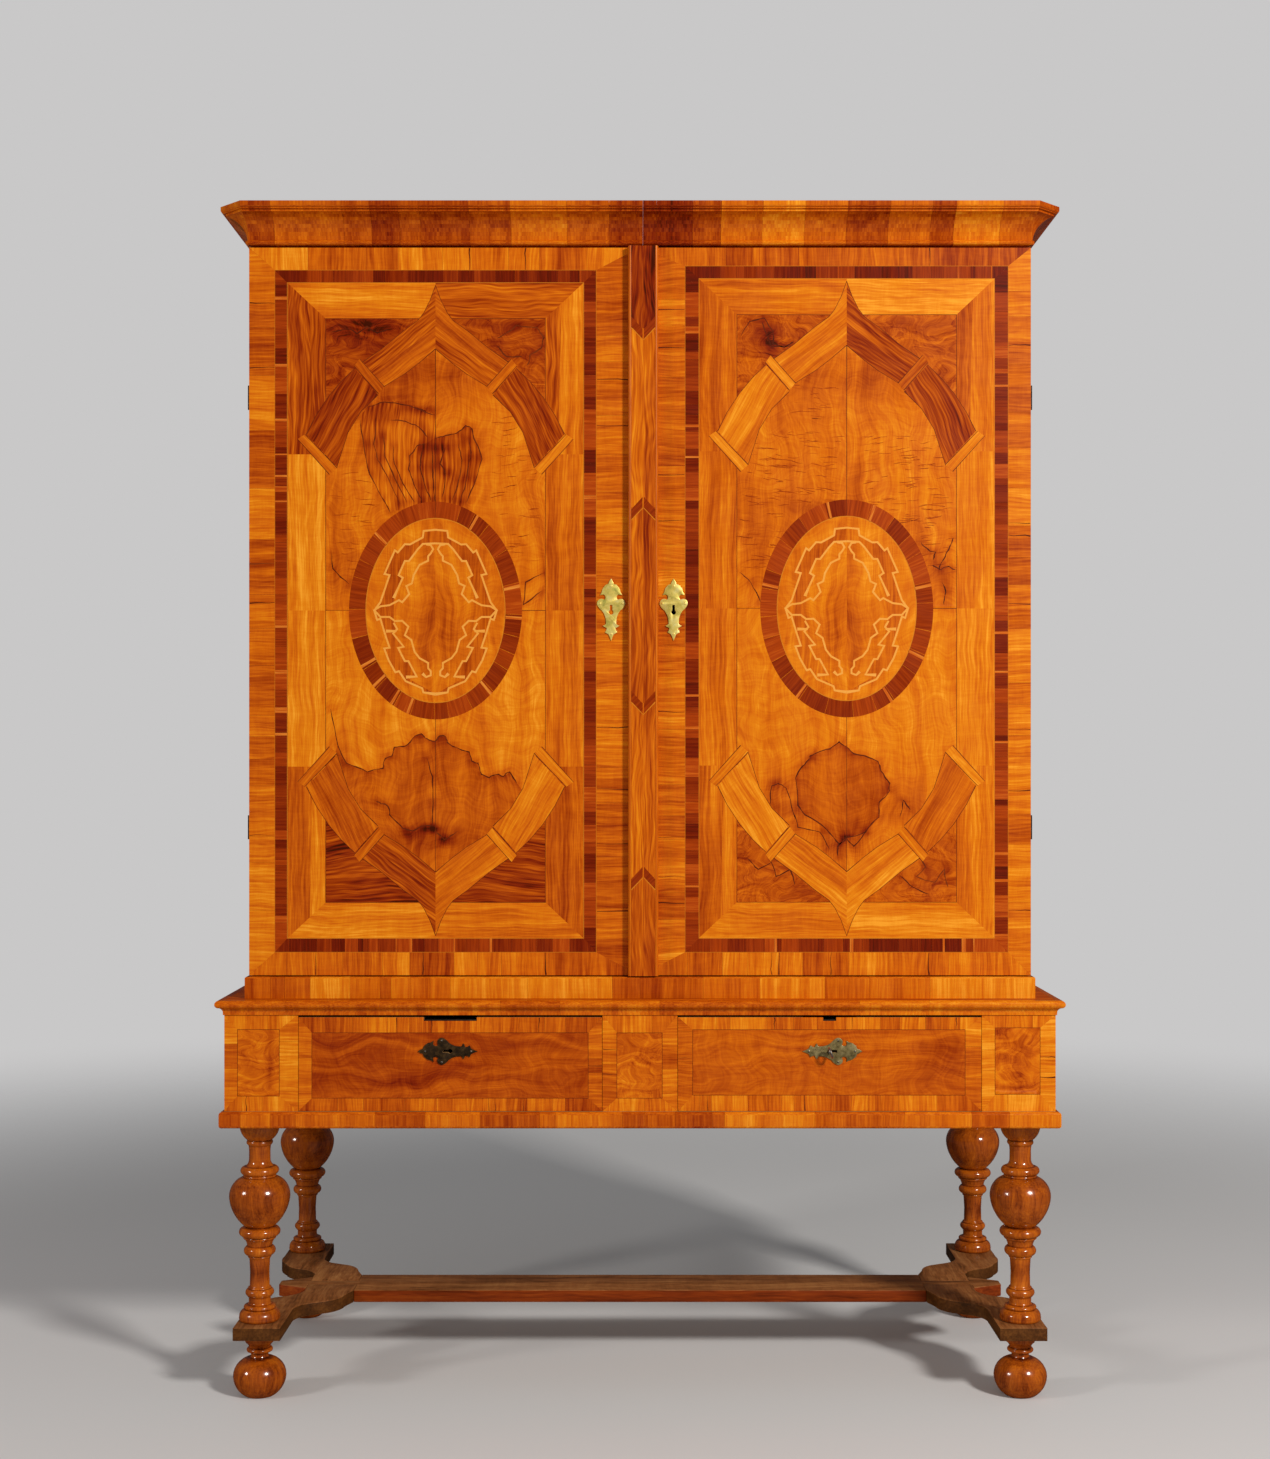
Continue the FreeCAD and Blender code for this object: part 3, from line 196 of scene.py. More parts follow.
# Orange-brown walnut from its darkest streaks to its palest sapwood
WALNUT = ("#401000", "#7a1e02", "#993702", "#b64f05", "#cf6608", "#e0800f", "#f29e28")
# Polished walnut leaf with broad, lively figure and a shimmer across the grain
field_walnut = wood("walnut_leaf_polished", WALNUT, 0.32, 0.14, 0.1, flame=0.13, rings=0.02, warp=0.05)
# The same walnut cut straight, for borders, straps and bands
straight_walnut = wood("walnut_straight_polished", WALNUT, 0.38, 0.3, 0.14, flame=0.06, rings=0.02, warp=0.012)
# Walnut burr, with thin dark lines round its swirls
burr_walnut = wood("walnut_burr_polished", WALNUT, 0.44, 0.12, 0.08, flame=0.2, veins=0.13, warp=0.07, spread=1.5)
# Dark streaky walnut of the lower corners and of some straps
streaky_walnut = wood("walnut_streaky_polished", WALNUT, 0.42, 0.5, 0.14, rings=0.04, warp=0.02)
# Cross-grain walnut of the mouldings, glossy on its rounds
moulding_walnut = wood("walnut_moulding_polished", WALNUT, 0.34, 0.26, 0.12, flame=0.05, warp=0.006, gloss=0.22,
                       shine=0.2)
# Red-brown kingwood in short cross-grain pieces
KINGWOOD = ("#4a1000", "#6e1901", "#8a2c02", "#a63d05", "#c65c12", "#e08c34")
kingwood = wood("kingwood_band_polished", KINGWOOD, 0.16, 0.26, 0.12, warp=0.003)
# Pale boxwood lines
STRING = ("#a85a10", "#c87418", "#dc8c2a", "#e69a3c", "#efae58")
boxwood = wood("boxwood_line_polished", STRING, 0.1, 0.1, 0.06, warp=0.003)
# Dark glue and dirt in the joints, and the black lines of the figure
JOINT = ("#180500", "#360e01", "#5a1c02", "#7a3006")
joint_line = wood("dark_joint_line", JOINT, 0.5, 0.2, 0.1, gloss=0.5)
# Turned legs and feet, red-brown and glossy
TURNED = ("#421402", "#722c05", "#a04a0c", "#c0620f", "#d88428")
turned_walnut = wood("walnut_turned_polished", TURNED, 0.4, 0.26, 0.16, flame=0.1, rings=0.02, warp=0.02,
                     gloss=0.15, shine=0.7, axis=2, spread=1.4)
# Worn, dull brown wood of the stretcher, with the grain along each board
STRETCHER = ("#2e1608", "#5e3617", "#8c552c", "#a8703f", "#bc8a56")
stretcher_wood = {
    axis: wood(f"walnut_worn_{axis}", STRETCHER, 0.4, 0.3, 0.16, flame=0.1, warp=0.02, gloss=0.5, axis=axis)
    for axis in (0, 1)
}
# The stretcher's upright edges, darker and redder than its top
EDGE = ("#2a0c02", "#541c04", "#7e3008", "#964410", "#a85c1c")
stretcher_edge = wood("walnut_worn_edge", EDGE, 0.34, 0.26, 0.14, gloss=0.42, axis=0)
# The end boards' upright edges, olive brown and darker than their tops
DIRT = ("#22100a", "#3a200a", "#553012", "#70441c", "#8a5c2c")
stretcher_dark_edge = wood("walnut_dark_edge", DIRT, 0.34, 0.26, 0.14, gloss=0.42, axis=1)
# Plain oak of the insides, unpolished
OAK = ("#4c3016", "#7a5430", "#a07a4c", "#b8935f", "#ccab7a")
oak = wood("oak_plain_unpolished", OAK, 0.24, 0.24, 0.16, flame=0.02, warp=0.006, gloss=0.6)
# Yellow-green tarnished brass of the doors' plates, brighter where it is rubbed
brass = metal("brass_plate_tarnished", ("#b0a84a", "#ecd268", "#fff09a"), 0.45, 0.34, 90)
# Brown-black bronze of the drawers' plates
bronze = metal("bronze_plate_dark", ("#1e1409", "#402c14", "#644c2c"), 0.6, 0.42, 120)
# The right drawer's bronze plate, rubbed lighter
bronze_rubbed = metal("bronze_plate_rubbed", ("#5a4c28", "#86764a", "#a8986a"), 0.45, 0.38, 120)
# Dark wrought iron of hinges, locks and bolts
iron = metal("iron_wrought_dark", ("#15110e", "#2b2622", "#4a423a"), 0.7, 0.5, 110)
# Grey steel of the key, worn bright
steel = metal("steel_key_worn", ("#5a544c", "#9a948a", "#c2bcb2"), 0.9, 0.3, 160)


# Shapes
def placed(name, data):
    """A new object in the scene."""
    made = bpy.data.objects.new(name, data)
    bpy.context.scene.collection.objects.link(made)
    return made


def unique(items):
    """Each item once, in an order that is the same on each run."""
    return list(dict.fromkeys(items))


def anywhere(dice):
    """A random place in a wood's pattern, for a piece's grain to start from."""
    return dice.uniform(0, 9), dice.uniform(0, 9)


def bowed(points, steps=8):
    """Points along runs that may bow out (+) or in (-), by a share of half their length."""
    run = [Vector(points[0][:2])]
    for x, y, bow in points[1:]:
        start, end = run[-1], Vector((x, y))
        half = (end - start) / 2
        if abs(bow) < 0.01:
            run.append(end)
            continue
        turn = 2 * math.atan(bow)
        radius = half.length / math.sin(turn)
        along = half.normalized()
        out = Vector((along.y, -along.x))
        for step in range(1, steps + 1):
            angle = turn * (2 * step / steps - 1)
            lift = radius * (math.cos(angle) - math.cos(turn))
            run.append(start + half + along * radius * math.sin(angle) + out * lift)
    return run


def strip(points, width):
    """The outline of a line of inlay, mitred where it bends. Its width may change along it."""
    points = [Vector(point) for point in points]
    widths = width if isinstance(width, list) else [width] * len(points)
    sides = ([], [])
    for index, point in enumerate(points):
        before = (point - points[max(index - 1, 0)]).normalized()
        after = (points[min(index + 1, len(points) - 1)] - point).normalized()
        along = (before + after).normalized()
        reach = widths[index] / 2 / max(along.dot(after or before), 0.6)
        out = Vector((-along.y, along.x)) * reach
        sides[0].append(point + out)
        sides[1].append(point - out)
    return sides[0] + sides[1][::-1]


def wandering(points, dice, amounts=(1.8, 0.8)):
    """A run with more points, each moved a little aside, like the edge of a stain."""
    for amount in amounts:
        run = [points[0]]
        for first, second in zip(points, points[1:]):
            middle = [(a + b) / 2 + dice.uniform(-amount, amount) for a, b in zip(first, second)]
            run += [middle, second]
        points = run
    return points


class Plane:
    """A true face of the wood, with points given across it, up it and out from it, in mm."""

    def __init__(self, origin, across, out):
        self.origin, self.across, self.out = Vector(origin), across, out

    def at(self, across, up, out):
        return (self.origin + self.across * across + Z * up + self.out * out) * MM

    def local(self, place):
        offset = place / MM - self.origin
        return offset.dot(self.across), offset.z


class Piece:
    """One object while it is made: its mesh, its map along the grain and its finishes."""

    def __init__(self, name):
        self.name = name
        self.mesh = bmesh.new()
        self.grain = self.mesh.loops.layers.uv.new("grain")
        self.tone = self.mesh.verts.layers.float.new("tone")
        self.finishes = []
        self.openings = []

    def paint(self, faces, finish, tone, along, across, shift=(0, 0)):
        """Give faces a finish, a tone and a grain direction. A tone may depend on the place."""
        if finish not in self.finishes:
            self.finishes.append(finish)
        number = self.finishes.index(finish)
        for face in faces:
            face.material_index = number
            for loop in face.loops:
                place = loop.vert.co
                loop[self.grain].uv = (place.dot(along) + shift[0], place.dot(across) + shift[1])
        for vert in unique(vert for face in faces for vert in face.verts):
            vert[self.tone] = tone(vert.co) if callable(tone) else tone

    def grained(self, faces, finish, tone, axis, shift=(0, 0)):
        """Give faces a finish with the grain along an axis, or across it on end grain."""
        spare = Y if abs(axis.y) < 0.5 else X
        for face in faces:
            along = axis - face.normal * face.normal.dot(axis)
            if along.length < 0.2:
                along = spare - face.normal * face.normal.dot(spare)
            along.normalize()
            self.paint([face], finish, tone, along, face.normal.cross(along), shift)

    def thickened(self, faces):
        """Give faces a thickness, which is none yet. Returns the new points."""
        made = bmesh.ops.extrude_face_region(self.mesh, geom=faces)["geom"]
        return [item for item in made if isinstance(item, bmesh.types.BMVert)]

    def prism(self, start, end):
        """A closed piece between two sections, whose points match. Returns its faces."""
        verts = [self.mesh.verts.new(place) for place in start]
        fresh = self.thickened([self.mesh.faces.new(verts)])
        for vert in fresh:
            nearest = min(range(len(start)), key=lambda i: (start[i] - vert.co).length_squared)
            vert.co = end[nearest]
        faces = unique(face for vert in verts + fresh for face in vert.link_faces)
        bmesh.ops.recalc_face_normals(self.mesh, faces=faces)
        return faces

    def plate(self, plane, outline, level, finish, tone, grain=(0, 1), shift=(0, 0), mirror=1, cuts=None):
        """A veneer plate with a closed outline on a plane, its face a level below the true face.

        It is left open over the piece's openings, such as behind a keyhole.
        """
        spans = [(min(row), max(row)) for row in zip(*outline)]
        verts = [self.mesh.verts.new(plane.at(x, y, -level)) for x, y in outline]
        front = [self.mesh.faces.new(verts)]
        for low, high in self.openings:
            if all(span[0] < high[i] and span[1] > low[i] for i, span in enumerate(spans)):
                front = self.opened(front, plane, low, high)
        if not front:
            return
        fresh = self.thickened(front)
        for vert in fresh:
            vert.co += plane.out * (level - CORE) * MM
        sides = [face for vert in fresh for face in vert.link_faces]
        faces = unique(sides + [face for face in front if face.is_valid])
        bmesh.ops.recalc_face_normals(self.mesh, faces=faces)
        if cuts:
            faces = self.gridded(faces, plane, *cuts)
        along = (plane.across * grain[0] + Z * grain[1]).normalized()
        across = (plane.across * grain[1] - Z * grain[0]).normalized() * mirror
        self.paint(faces, finish, tone, along, across, shift)

    def sliced(self, faces, plane, lines):
        """Cut faces along lines, each with its normal and a point. Returns all the faces."""
        geom = unique(item for face in faces for item in (face, *face.edges, *face.verts))
        for normal, (x, y) in lines:
            spot = plane.at(x, y, 0)
            geom = bmesh.ops.bisect_plane(self.mesh, geom=geom, plane_co=spot, plane_no=normal)["geom"]
        return [item for item in geom if isinstance(item, bmesh.types.BMFace)]

    def gridded(self, faces, plane, step, area):
        """Cut a plate into a grid, so that its tone can change from place to place."""
        low, high = area
        lines = [(plane.across, (x, 0)) for x in range(int(low[0]), int(high[0]), step)]
        lines += [(Z, (0, y)) for y in range(int(low[1]), int(high[1]), step)]
        return self.sliced(faces, plane, lines)

    def opened(self, faces, plane, low, high):
        """Take a small rectangle out of flat faces. Returns the faces that are left."""
        left, inside = [], []
        lines = ((plane.across, low), (plane.across, high), (Z, low), (Z, high))
        for face in self.sliced(faces, plane, lines):
            x, y = plane.local(face.calc_center_median())
            within = low[0] < x < high[0] and low[1] < y < high[1]
            (inside if within else left).append(face)
        bmesh.ops.delete(self.mesh, geom=inside, context="FACES")
        return left

    def finish(self, body, slot, *nodes, angle=32):
        """Turn the piece into an object that rides on a body and stands for CAD nodes."""
        data = bpy.data.meshes.new(self.name)
        self.mesh.to_mesh(data)
        self.mesh.free()
        for made in self.finishes:
            data.materials.append(made)
        data.shade_smooth()
        data.set_sharp_from_angle(angle=math.radians(angle))
        made = placed(self.name, data)
        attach(made, body)
        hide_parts(*nodes)


# The way in which edges are rounded, and the angle from which an edge counts as sharp
BEVEL = {"offset_type": "OFFSET", "profile": 0.5, "affect": "EDGES", "clamp_overlap": True, "material": -1}
SHARP = math.radians(30)


def carry(name, node, finish, axis, tone=0.5, edge=0.6, plane=None, segments=2):
    """A piece with a CAD node's shape, merged from its triangles, and edges rounded by an edge in mm.

    What lies on the plane that will be veneered moves in, to leave room for the veneer.
    """
    piece = Piece(name)
    mesh = piece.mesh
    mesh.from_mesh(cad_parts[node].data)
    bmesh.ops.remove_doubles(mesh, verts=mesh.verts[:], dist=2e-6)
    bmesh.ops.dissolve_limit(mesh, angle_limit=math.radians(0.5), verts=mesh.verts[:], edges=mesh.edges[:])
    if plane:
        for vert in mesh.verts:
            if abs(vert.co.dot(plane.out) - plane.origin.dot(plane.out) * MM) < 0.01 * MM:
                vert.co -= plane.out * CORE * MM
    if edge:
        sharp = [item for item in mesh.edges if item.is_manifold and item.calc_face_angle() > SHARP]
        bmesh.ops.bevel(mesh, geom=sharp, offset=edge * MM, segments=segments, **BEVEL)
    bmesh.ops.recalc_face_normals(mesh, faces=mesh.faces[:])
    piece.grained(mesh.faces[:], finish, tone, axis)
    return piece


def carried(node, body, slot, finish, axis=X, tone=0.5, edge=0.6, upright=None, top=None, segments=2):
    """A piece that keeps its CAD shape. Its upright faces and its top may have finishes of their own."""
    piece = carry(node + "_made", node, finish, axis, tone, edge, None, segments)
    faces = piece.mesh.faces[:]
    if upright:
        piece.grained([face for face in faces if abs(face.normal.z) < 0.4], upright, tone, axis)
    if top:
        piece.grained([face for face in faces if face.normal.z > 0.9], top, tone, axis)
    piece.finish(body, slot, node)


# Veneering
def breaks(start, end, lengths, dice, slivers=0.0, first=0.0, last=0.0):
    """Places along a band where its pieces meet, and whether each piece is a thin light one."""
    marks = [(start, False)]
    while marks[-1][0] < end - last - lengths[0]:
        thin = marks[-1][0] > start and dice.random() < slivers
        length = dice.uniform(2.5, 5) if thin else dice.uniform(*lengths)
        marks.append((max(marks[-1][0] + length, start + first), thin))
    return (marks[:-1] or marks) + [(end, False)]


def banding(piece, plane, outer, inner, lengths, finish, tones, level, seed, slivers=0.0, cracks=0.0):
    """Cross-grain pieces between two rectangles (left, right, low, high), mitred at the corners.

    The range of tones may be given for each side: bottom, right, top and left. Slivers and cracks
    are the shares of thin light pieces and of pieces with a dark streak along their grain.
    """
    dice = Random(seed)
    ranges = tones if isinstance(tones[0], tuple) else (tones,) * 4
    left, right, low, high = outer
    il, ir, ilow, ihigh = inner
    wl, wr, wlow, whigh = il - left, right - ir, ilow - low, high - ihigh
    sides = (
        ((left, low), (1, 0), (0, 1), right - left, wlow, wl, wr),
        ((right, low), (0, 1), (-1, 0), high - low, wr, wlow, whigh),
        ((right, high), (-1, 0), (0, -1), right - left, whigh, wr, wl),
        ((left, high), (0, -1), (1, 0), high - low, wl, whigh, wlow),
    )
    for (corner, along, inward, length, width, first, last), tones in zip(sides, ranges):
        corner, along, inward = Vector(corner), Vector(along), Vector(inward)
        marks = breaks(0, length, lengths, dice, slivers, first + 3, last + 3)
        for (start, _), (end, thin) in zip(marks, marks[1:]):
            if dice.random() < cracks and first < start < end < length - last:
                spot = dice.uniform(start + 2, end - 2)
                points = [corner + along * (spot + dice.uniform(-1, 1)) + inward * width * share
                          for share in (0.02, 0.25, 0.5, 0.75, 0.98)]
                wide = dice.uniform(1.0, 3.0)
                streak = strip(points, [wide * share for share in (1, 0.8, 0.6, 0.4, 0.2)])
                piece.plate(plane, streak, level - 0.05, joint_line, dice.uniform(0.5, 0.95), inward)
            start, end = start + JOINT_GAP, end - JOINT_GAP
            close = [min(max(t, first), length - last) for t in (start, end)]
            outline = [corner + along * start, corner + along * end]
            outline += [corner + along * close[1] + inward * width, corner + along * close[0] + inward * width]
            tone = tones[1] + 0.16 if thin else dice.uniform(*tones)
            piece.plate(plane, outline, level, finish, tone, inward, anywhere(dice))


def rectangle(left, right, low, high):
    return [(left, low), (right, low), (right, high), (left, high)]


def line_frame(piece, plane, area, width, level, finish, tone):
    """Thin lines round a rectangle (left, right, low, high), just outside it."""
    left, right, low, high = area
    for bar in (
        (left - width, right + width, high, high + width),
        (left - width, right + width, low - width, low),
        (left - width, left, low, high),
        (right, right + width, low, high),
    ):
        piece.plate(plane, rectangle(*bar), level, finish, tone, (1, 0))


def ellipse(radii, start=0.0, end=2 * math.pi, steps=72):
    """Points on an oval, from the top clockwise."""
    spread = [start + (end - start) * step / steps for step in range(steps + 1)]
    return [(radii[0] * math.sin(angle), radii[1] * math.cos(angle)) for angle in spread]


def blobs(plane, base, spots):
    """A tone that changes round soft spots: (across, up, width, height, change)."""

    def tone(place):
        x, y = plane.local(place)
        value = base
        for u, v, width, height, change in spots:
            if abs(x - u) < 2 * width and abs(y - v) < 2 * height:
                value += change * math.exp(-(((x - u) / width) ** 2 + ((y - v) / height) ** 2))
        return value

    return tone


# Strapwork of a quarter of a door's panel, in mm right of and above its middle
ARM_OUTER = ((0, 552), (9, 527), (20, 505), (30, 492), (55, 474), (90, 445), (124, 421))
ARM_INNER = ((88, 380), (52, 402), (27, 421), (0, 444))
ARM_MIDDLE = ((0, 482), (32, 456), (72, 429), (108, 402))
BLOCK_HIGH = ((129, 427), (138, 415), (97, 368), (87, 380))
SEGMENT_OUTER = ((137, 411), (160, 389), (182, 363), (203, 331), (219, 299))
SEGMENT_INNER = ((167, 244), (148.5, 302), (127, 337), (97.5, 366))
BLOCK_LOW = ((222, 299), (234, 291), (180, 231), (167, 242))
CORNER = ((0, 200), (186, 200), (186, 497), (0, 497))
LEAF = ((0, 0), (186, 0), (186, 242), (172, 242), (152, 303), (130, 340), (100, 370), (92, 386), (54, 405),
        (29, 425), (0, 448))
PANEL_HIGH, FIELD_WIDE, FIELD_HIGH = 555.8, 186, 495
# The borders and straps laid in each quarter: outline, level, name of the tone, and grain
STRAPS = (
    (((0, 555.8), (250.8, 555.8), (186, 495), (0, 495)), LEAF_LEVEL, "rail", (1, 0)),
    (((250.8, 555.8), (186, 495), (186, 265), (250.8, 265)), LEAF_LEVEL, "stile", (0, 1)),
    (((214, 521.3), (186, 495), (186, 265), (208, 265)), 0.45, "edge", (0, 1)),
    (((250.8, 265), (186, 265), (186, 0), (250.8, 0)), LEAF_LEVEL, "waist", (0, 1)),
    (ARM_OUTER + ARM_INNER, 0.4, "arm", (1, -0.78)),
    (ARM_MIDDLE + ARM_INNER, 0.36, "under", (1, -0.78)),
    (SEGMENT_OUTER + SEGMENT_INNER, 0.4, "segment", (0.55, -1)),
    (BLOCK_HIGH, 0.32, "block", (0.85, 1)),
    (BLOCK_LOW, 0.32, "tip", (0.9, 1)),
)
# The dark joints round them
STRAP_JOINTS = (BLOCK_HIGH[::3], BLOCK_HIGH[1:3], BLOCK_LOW[::3], BLOCK_LOW[1:3], ARM_OUTER, ARM_INNER, SEGMENT_OUTER,
                SEGMENT_INNER)

# The oval's inlaid lines, in mm right of and above its middle
OVAL_OUTER = (
    (0, 137), (20, 135), (21.5, 124), (43.5, 112), (52, 112.5), (64, 98.5), (69, 102), (86.5, 62), (78, 60),
    (85, 39), (93.5, 14), (104, 0), (99, -16), (93.5, -14), (85, -42), (78, -63), (87, -64.5), (79.5, -84.5),
    (68, -105), (62, -103), (50.5, -120), (22.5, -132), (20.5, -139), (0, -142),
)
OVAL_MIDDLE_HIGH = (
    (0, 114), (21.5, 113), (30, 104), (45, 84), (52, 84), (62.5, 60), (55.5, 55.5), (64, 37), (71, 21),
)
OVAL_MIDDLE_LOW = (
    (71, -21), (65, -31.5), (72, -39), (54, -61.5), (63.5, -63.5), (52, -86), (46, -86), (32, -112), (50, -113),
)
OVAL_INNER = (
    (16, 112), (8, 111), (4, 104), (8, 97), (12.5, 92), (12.5, 84.5), (27, 77.5), (37, 60), (40, 46), (49.5, 41.5),
    (44.5, 28), (56.5, 14), (62, 17.5), (78, 9), (93.5, 7), (104, 0.5), (93.5, -11), (78, -11), (69, -18),
    (56.5, -17.5), (46, -27.5), (52, -42), (41, -50), (35.5, -70), (27, -81), (12.5, -89), (12.5, -98), (8, -103),
    (8, -110), (16, -113), (22, -107),
)
OVAL_RUNG = ((66, -35), (84, -35))
OVAL_RADII = (146.8, 184.8)
RING_INNER = (118.3, 156.6)

# Dark lines that run through the leaves' figure, in mm from the panel's middle
LEFT_FIGURE = (
    ((-178, -167), (-166, -228), (-151, -259), (-116, -274), (-89, -268), (-85, -251), (-74, -247), (-70, -232),
     (-51, -230), (-35, -213), (-24, -209), (-18, -216), (-1, -222), (7, -213), (18, -215), (20, -224), (34, -232),
     (57, -240), (61, -255), (72, -259), (78, -278), (91, -284), (107, -278), (115, -282), (126, -274), (138, -293)),
    ((-101, -324), (-93, -328), (-81, -332), (-78, -347), (-55, -370), (-39, -374), (-24, -366), (-5, -366)),
    ((-1, -374), (15, -389), (38, -374)),
    ((-14, -251), (-5, -282), (-4, -328), (-5, -366)),
    ((-116, 345), (-88, 354), (-46, 348), (-23, 340), (-2, 332)),
    ((-1, 293), (17, 297), (36, 301), (51, 314), (62, 308), (68, 286), (79, 257), (68, 221), (53, 184)),
    ((-17, 283), (-31, 280), (-44, 263), (-46, 240), (-37, 215), (-23, 187)),
    ((-128, 325), (-122, 283), (-112, 232), (-91, 192), (-77, 167)),
    ((-102, 323), (-105, 283), (-98, 255), (-80, 224), (-60, 181)),
    ((-77, 323), (-51, 321), (-31, 313), (-14, 294)),
    ((-88, 296), (-86, 262), (-70, 226), (-49, 184)),
    ((-72, 280), (-70, 250), (-55, 215), (-36, 184)),
    ((-6, 277), (-5, 243), (-3, 209), (-2, 185)),
    ((17, 277), (8, 249), (17, 232), (11, 192)),
    ((39, 283), (45, 255), (39, 221), (28, 187)),
    ((56, 292), (60, 262), (54, 226), (42, 186)),
    ((-23, 272), (-26, 243), (-17, 209), (-8, 187)),
    ((-176, 98), (-174, 71), (-147, 45)),
    ((184, 64), (153, 48), (149, 10), (180, 33)),
    ((-178, 472), (-150, 478), (-133, 470), (-116, 482), (-99, 471), (-80, 478)),
    ((104, 462), (121, 471), (138, 484), (172, 480), (184, 463), (180, 446), (160, 433), (155, 416)),
    ((104, 450), (121, 431), (147, 431)),
)
RIGHT_FIGURE = (
    ((-64, -251), (-54, -245), (-29, -237), (-13, -225), (-1, -233), (12, -245), (32, -249), (53, -258), (58, -274),
     (73, -295), (73, -307), (55, -327), (55, -352), (32, -377), (-1, -387), (-13, -397), (-34, -373), (-71, -348),
     (-83, -332), (-87, -286), (-75, -266), (-62, -252)),
    ((-130, -332), (-127, -299), (-116, -295), (-103, -303), (-91, -344), (-83, -369), (-46, -377), (-29, -406)),
    ((90, -352), (96, -323), (108, -340)),
    ((-15, -418), (-15, -401), (-1, -385), (12, -401), (32, -377)),
    ((-180, 459), (-165, 484), (-140, 490), (-125, 468), (-125, 446), (-106, 440), (-89, 450)),
    ((-144, 484), (-135, 459), (-128, 442), (-93, 442)),
    ((-170, -420), (-150, -440), (-128, -428), (-120, -452), (-96, -440), (-88, -466)),
    ((120, -410), (134, -436), (118, -452), (150, -462), (166, -440), (172, -470)),
    ((90, -450), (112, -470), (140, -482)),
    ((-182, 61), (-163, 44), (-146, 10)),
    ((126, 112), (139, 99), (151, 95), (147, 82)),
    ((145, 73), (160, 65), (173, 71), (185, 65)),
    ((181, 120), (173, 99), (164, 82), (157, 65)),
    ((162, 44), (168, 27), (165, 6)),
)


def mirrored(points, side):
    return [(x * side, y) for x, y in points]


def ring_part(start, end, steps):
    """The outline of a part of the oval's ring, between two angles in radians."""
    return ellipse(OVAL_RADII, start, end, steps) + ellipse(RING_INNER, start, end, steps)[::-1]


def cut(tone):
    """The walnut for a strap or border: the darker ones are cut from streaky wood."""
    return streaky_walnut if tone < 0.5 else straight_walnut


def panel(piece, plane, stretch, tones, figure, patches, rays, spots, seed):
    """The inner panel of a door: borders, corners, leaves, strapwork and the oval.

    Tones are listed for the quarters left high, right high, left low and right low. Patches are
    the outline, finish and tone of other figure in the leaves. Rays are places with thin dark
    dashes across the grain: (across, up, half width, half height, count).
    """
    dice = Random(seed)
    spots = [*spots, *((x, y * stretch, 9, 8, -0.17) for run in figure for x, y in run)]
    leaf_shift = anywhere(dice)
    for number, (across, up) in enumerate(((-1, 1), (1, 1), (-1, -1), (1, -1))):
        tone = {key: row[number] for key, row in tones.items() if key != "oval"}
        area = [[pick(0, FIELD_WIDE * across), pick(0, (FIELD_HIGH + 5) * up)] for pick in (min, max)]

        def lay(outline, level, finish, shade, grain, shift=None, step=None):
            """Lay a plate given for the upper right quarter. A step in mm lets its tone change."""
            outline = [(x * across, y * up * stretch) for x, y in outline]
            direction = (grain[0] * across, grain[1] * up)
            cuts = (step, area) if step else None
            piece.plate(plane, outline, level, finish, shade, direction, shift or anywhere(dice), across * up, cuts)

        kind = streaky_walnut if up < 0 and tone["corner"] < 0.4 else burr_walnut
        lay(CORNER, 0.55, kind, blobs(plane, tone["corner"], spots), (1, 0.05), None, 9)
        lay(LEAF, LEAF_LEVEL, field_walnut, blobs(plane, tone["leaf"], spots), (0, 1), leaf_shift, 7)
        for outline, level, key, grain in STRAPS:
            lay(outline, level, cut(tone[key]), tone[key], grain)
        for points in STRAP_JOINTS:
            lay(strip(points, 0.8), 0.3, joint_line, 0.8, (1, 0))
    for number, (outline, finish, shade) in enumerate(patches):
        shape = [(x, y * stretch) for x, y in outline]
        area = [[pick(row) for row in zip(*shape)] for pick in (min, max)]
        level = 0.488 - 0.004 * number
        piece.plate(plane, shape, level, finish, blobs(plane, shade, spots), (0, 1), leaf_shift, 1, (6, area))
    for u, v, width, height, count in rays:
        for _ in range(count):
            x, y = u + dice.uniform(-width, width), v + dice.uniform(-height, height)
            rise, length = dice.uniform(-0.1, 0.25) * (1 if x > 0 else -1), dice.uniform(5, 16)
            run = wandering([(x - length, y - rise * length), (x + length, y + rise * length)], dice, (1.2, 0.5))
            widths = [0.3, *(dice.uniform(0.6, 1.4) for _ in run[2:]), 0.3]
            level = dice.uniform(0.468, 0.476)
            piece.plate(plane, strip(run, widths), level, straight_walnut, dice.uniform(0.26, 0.46), (1, 0))
    for points in figure:
        run = wandering([(x, y * stretch) for x, y in points], dice)
        widths = [0.3, *(dice.uniform(0.9, 2.6) for _ in run[2:]), 0.3]
        piece.plate(plane, strip(run, widths), 0.466, joint_line, dice.uniform(0.55, 0.85), (1, 0))
    seams = (((0, -444 * stretch), (0, 444 * stretch)), ((-FIELD_WIDE, 0), (FIELD_WIDE, 0)))
    for points, tone in zip(seams, (0.7, 1.0)):
        piece.plate(plane, strip(points, 0.7), 0.46, joint_line, tone, (1, 0))
    high = FIELD_HIGH * stretch
    line_frame(piece, plane, (-FIELD_WIDE, FIELD_WIDE, -high, high), 0.9, 0.43, joint_line, 0.8)
    oval(piece, plane, dice, tones["oval"])


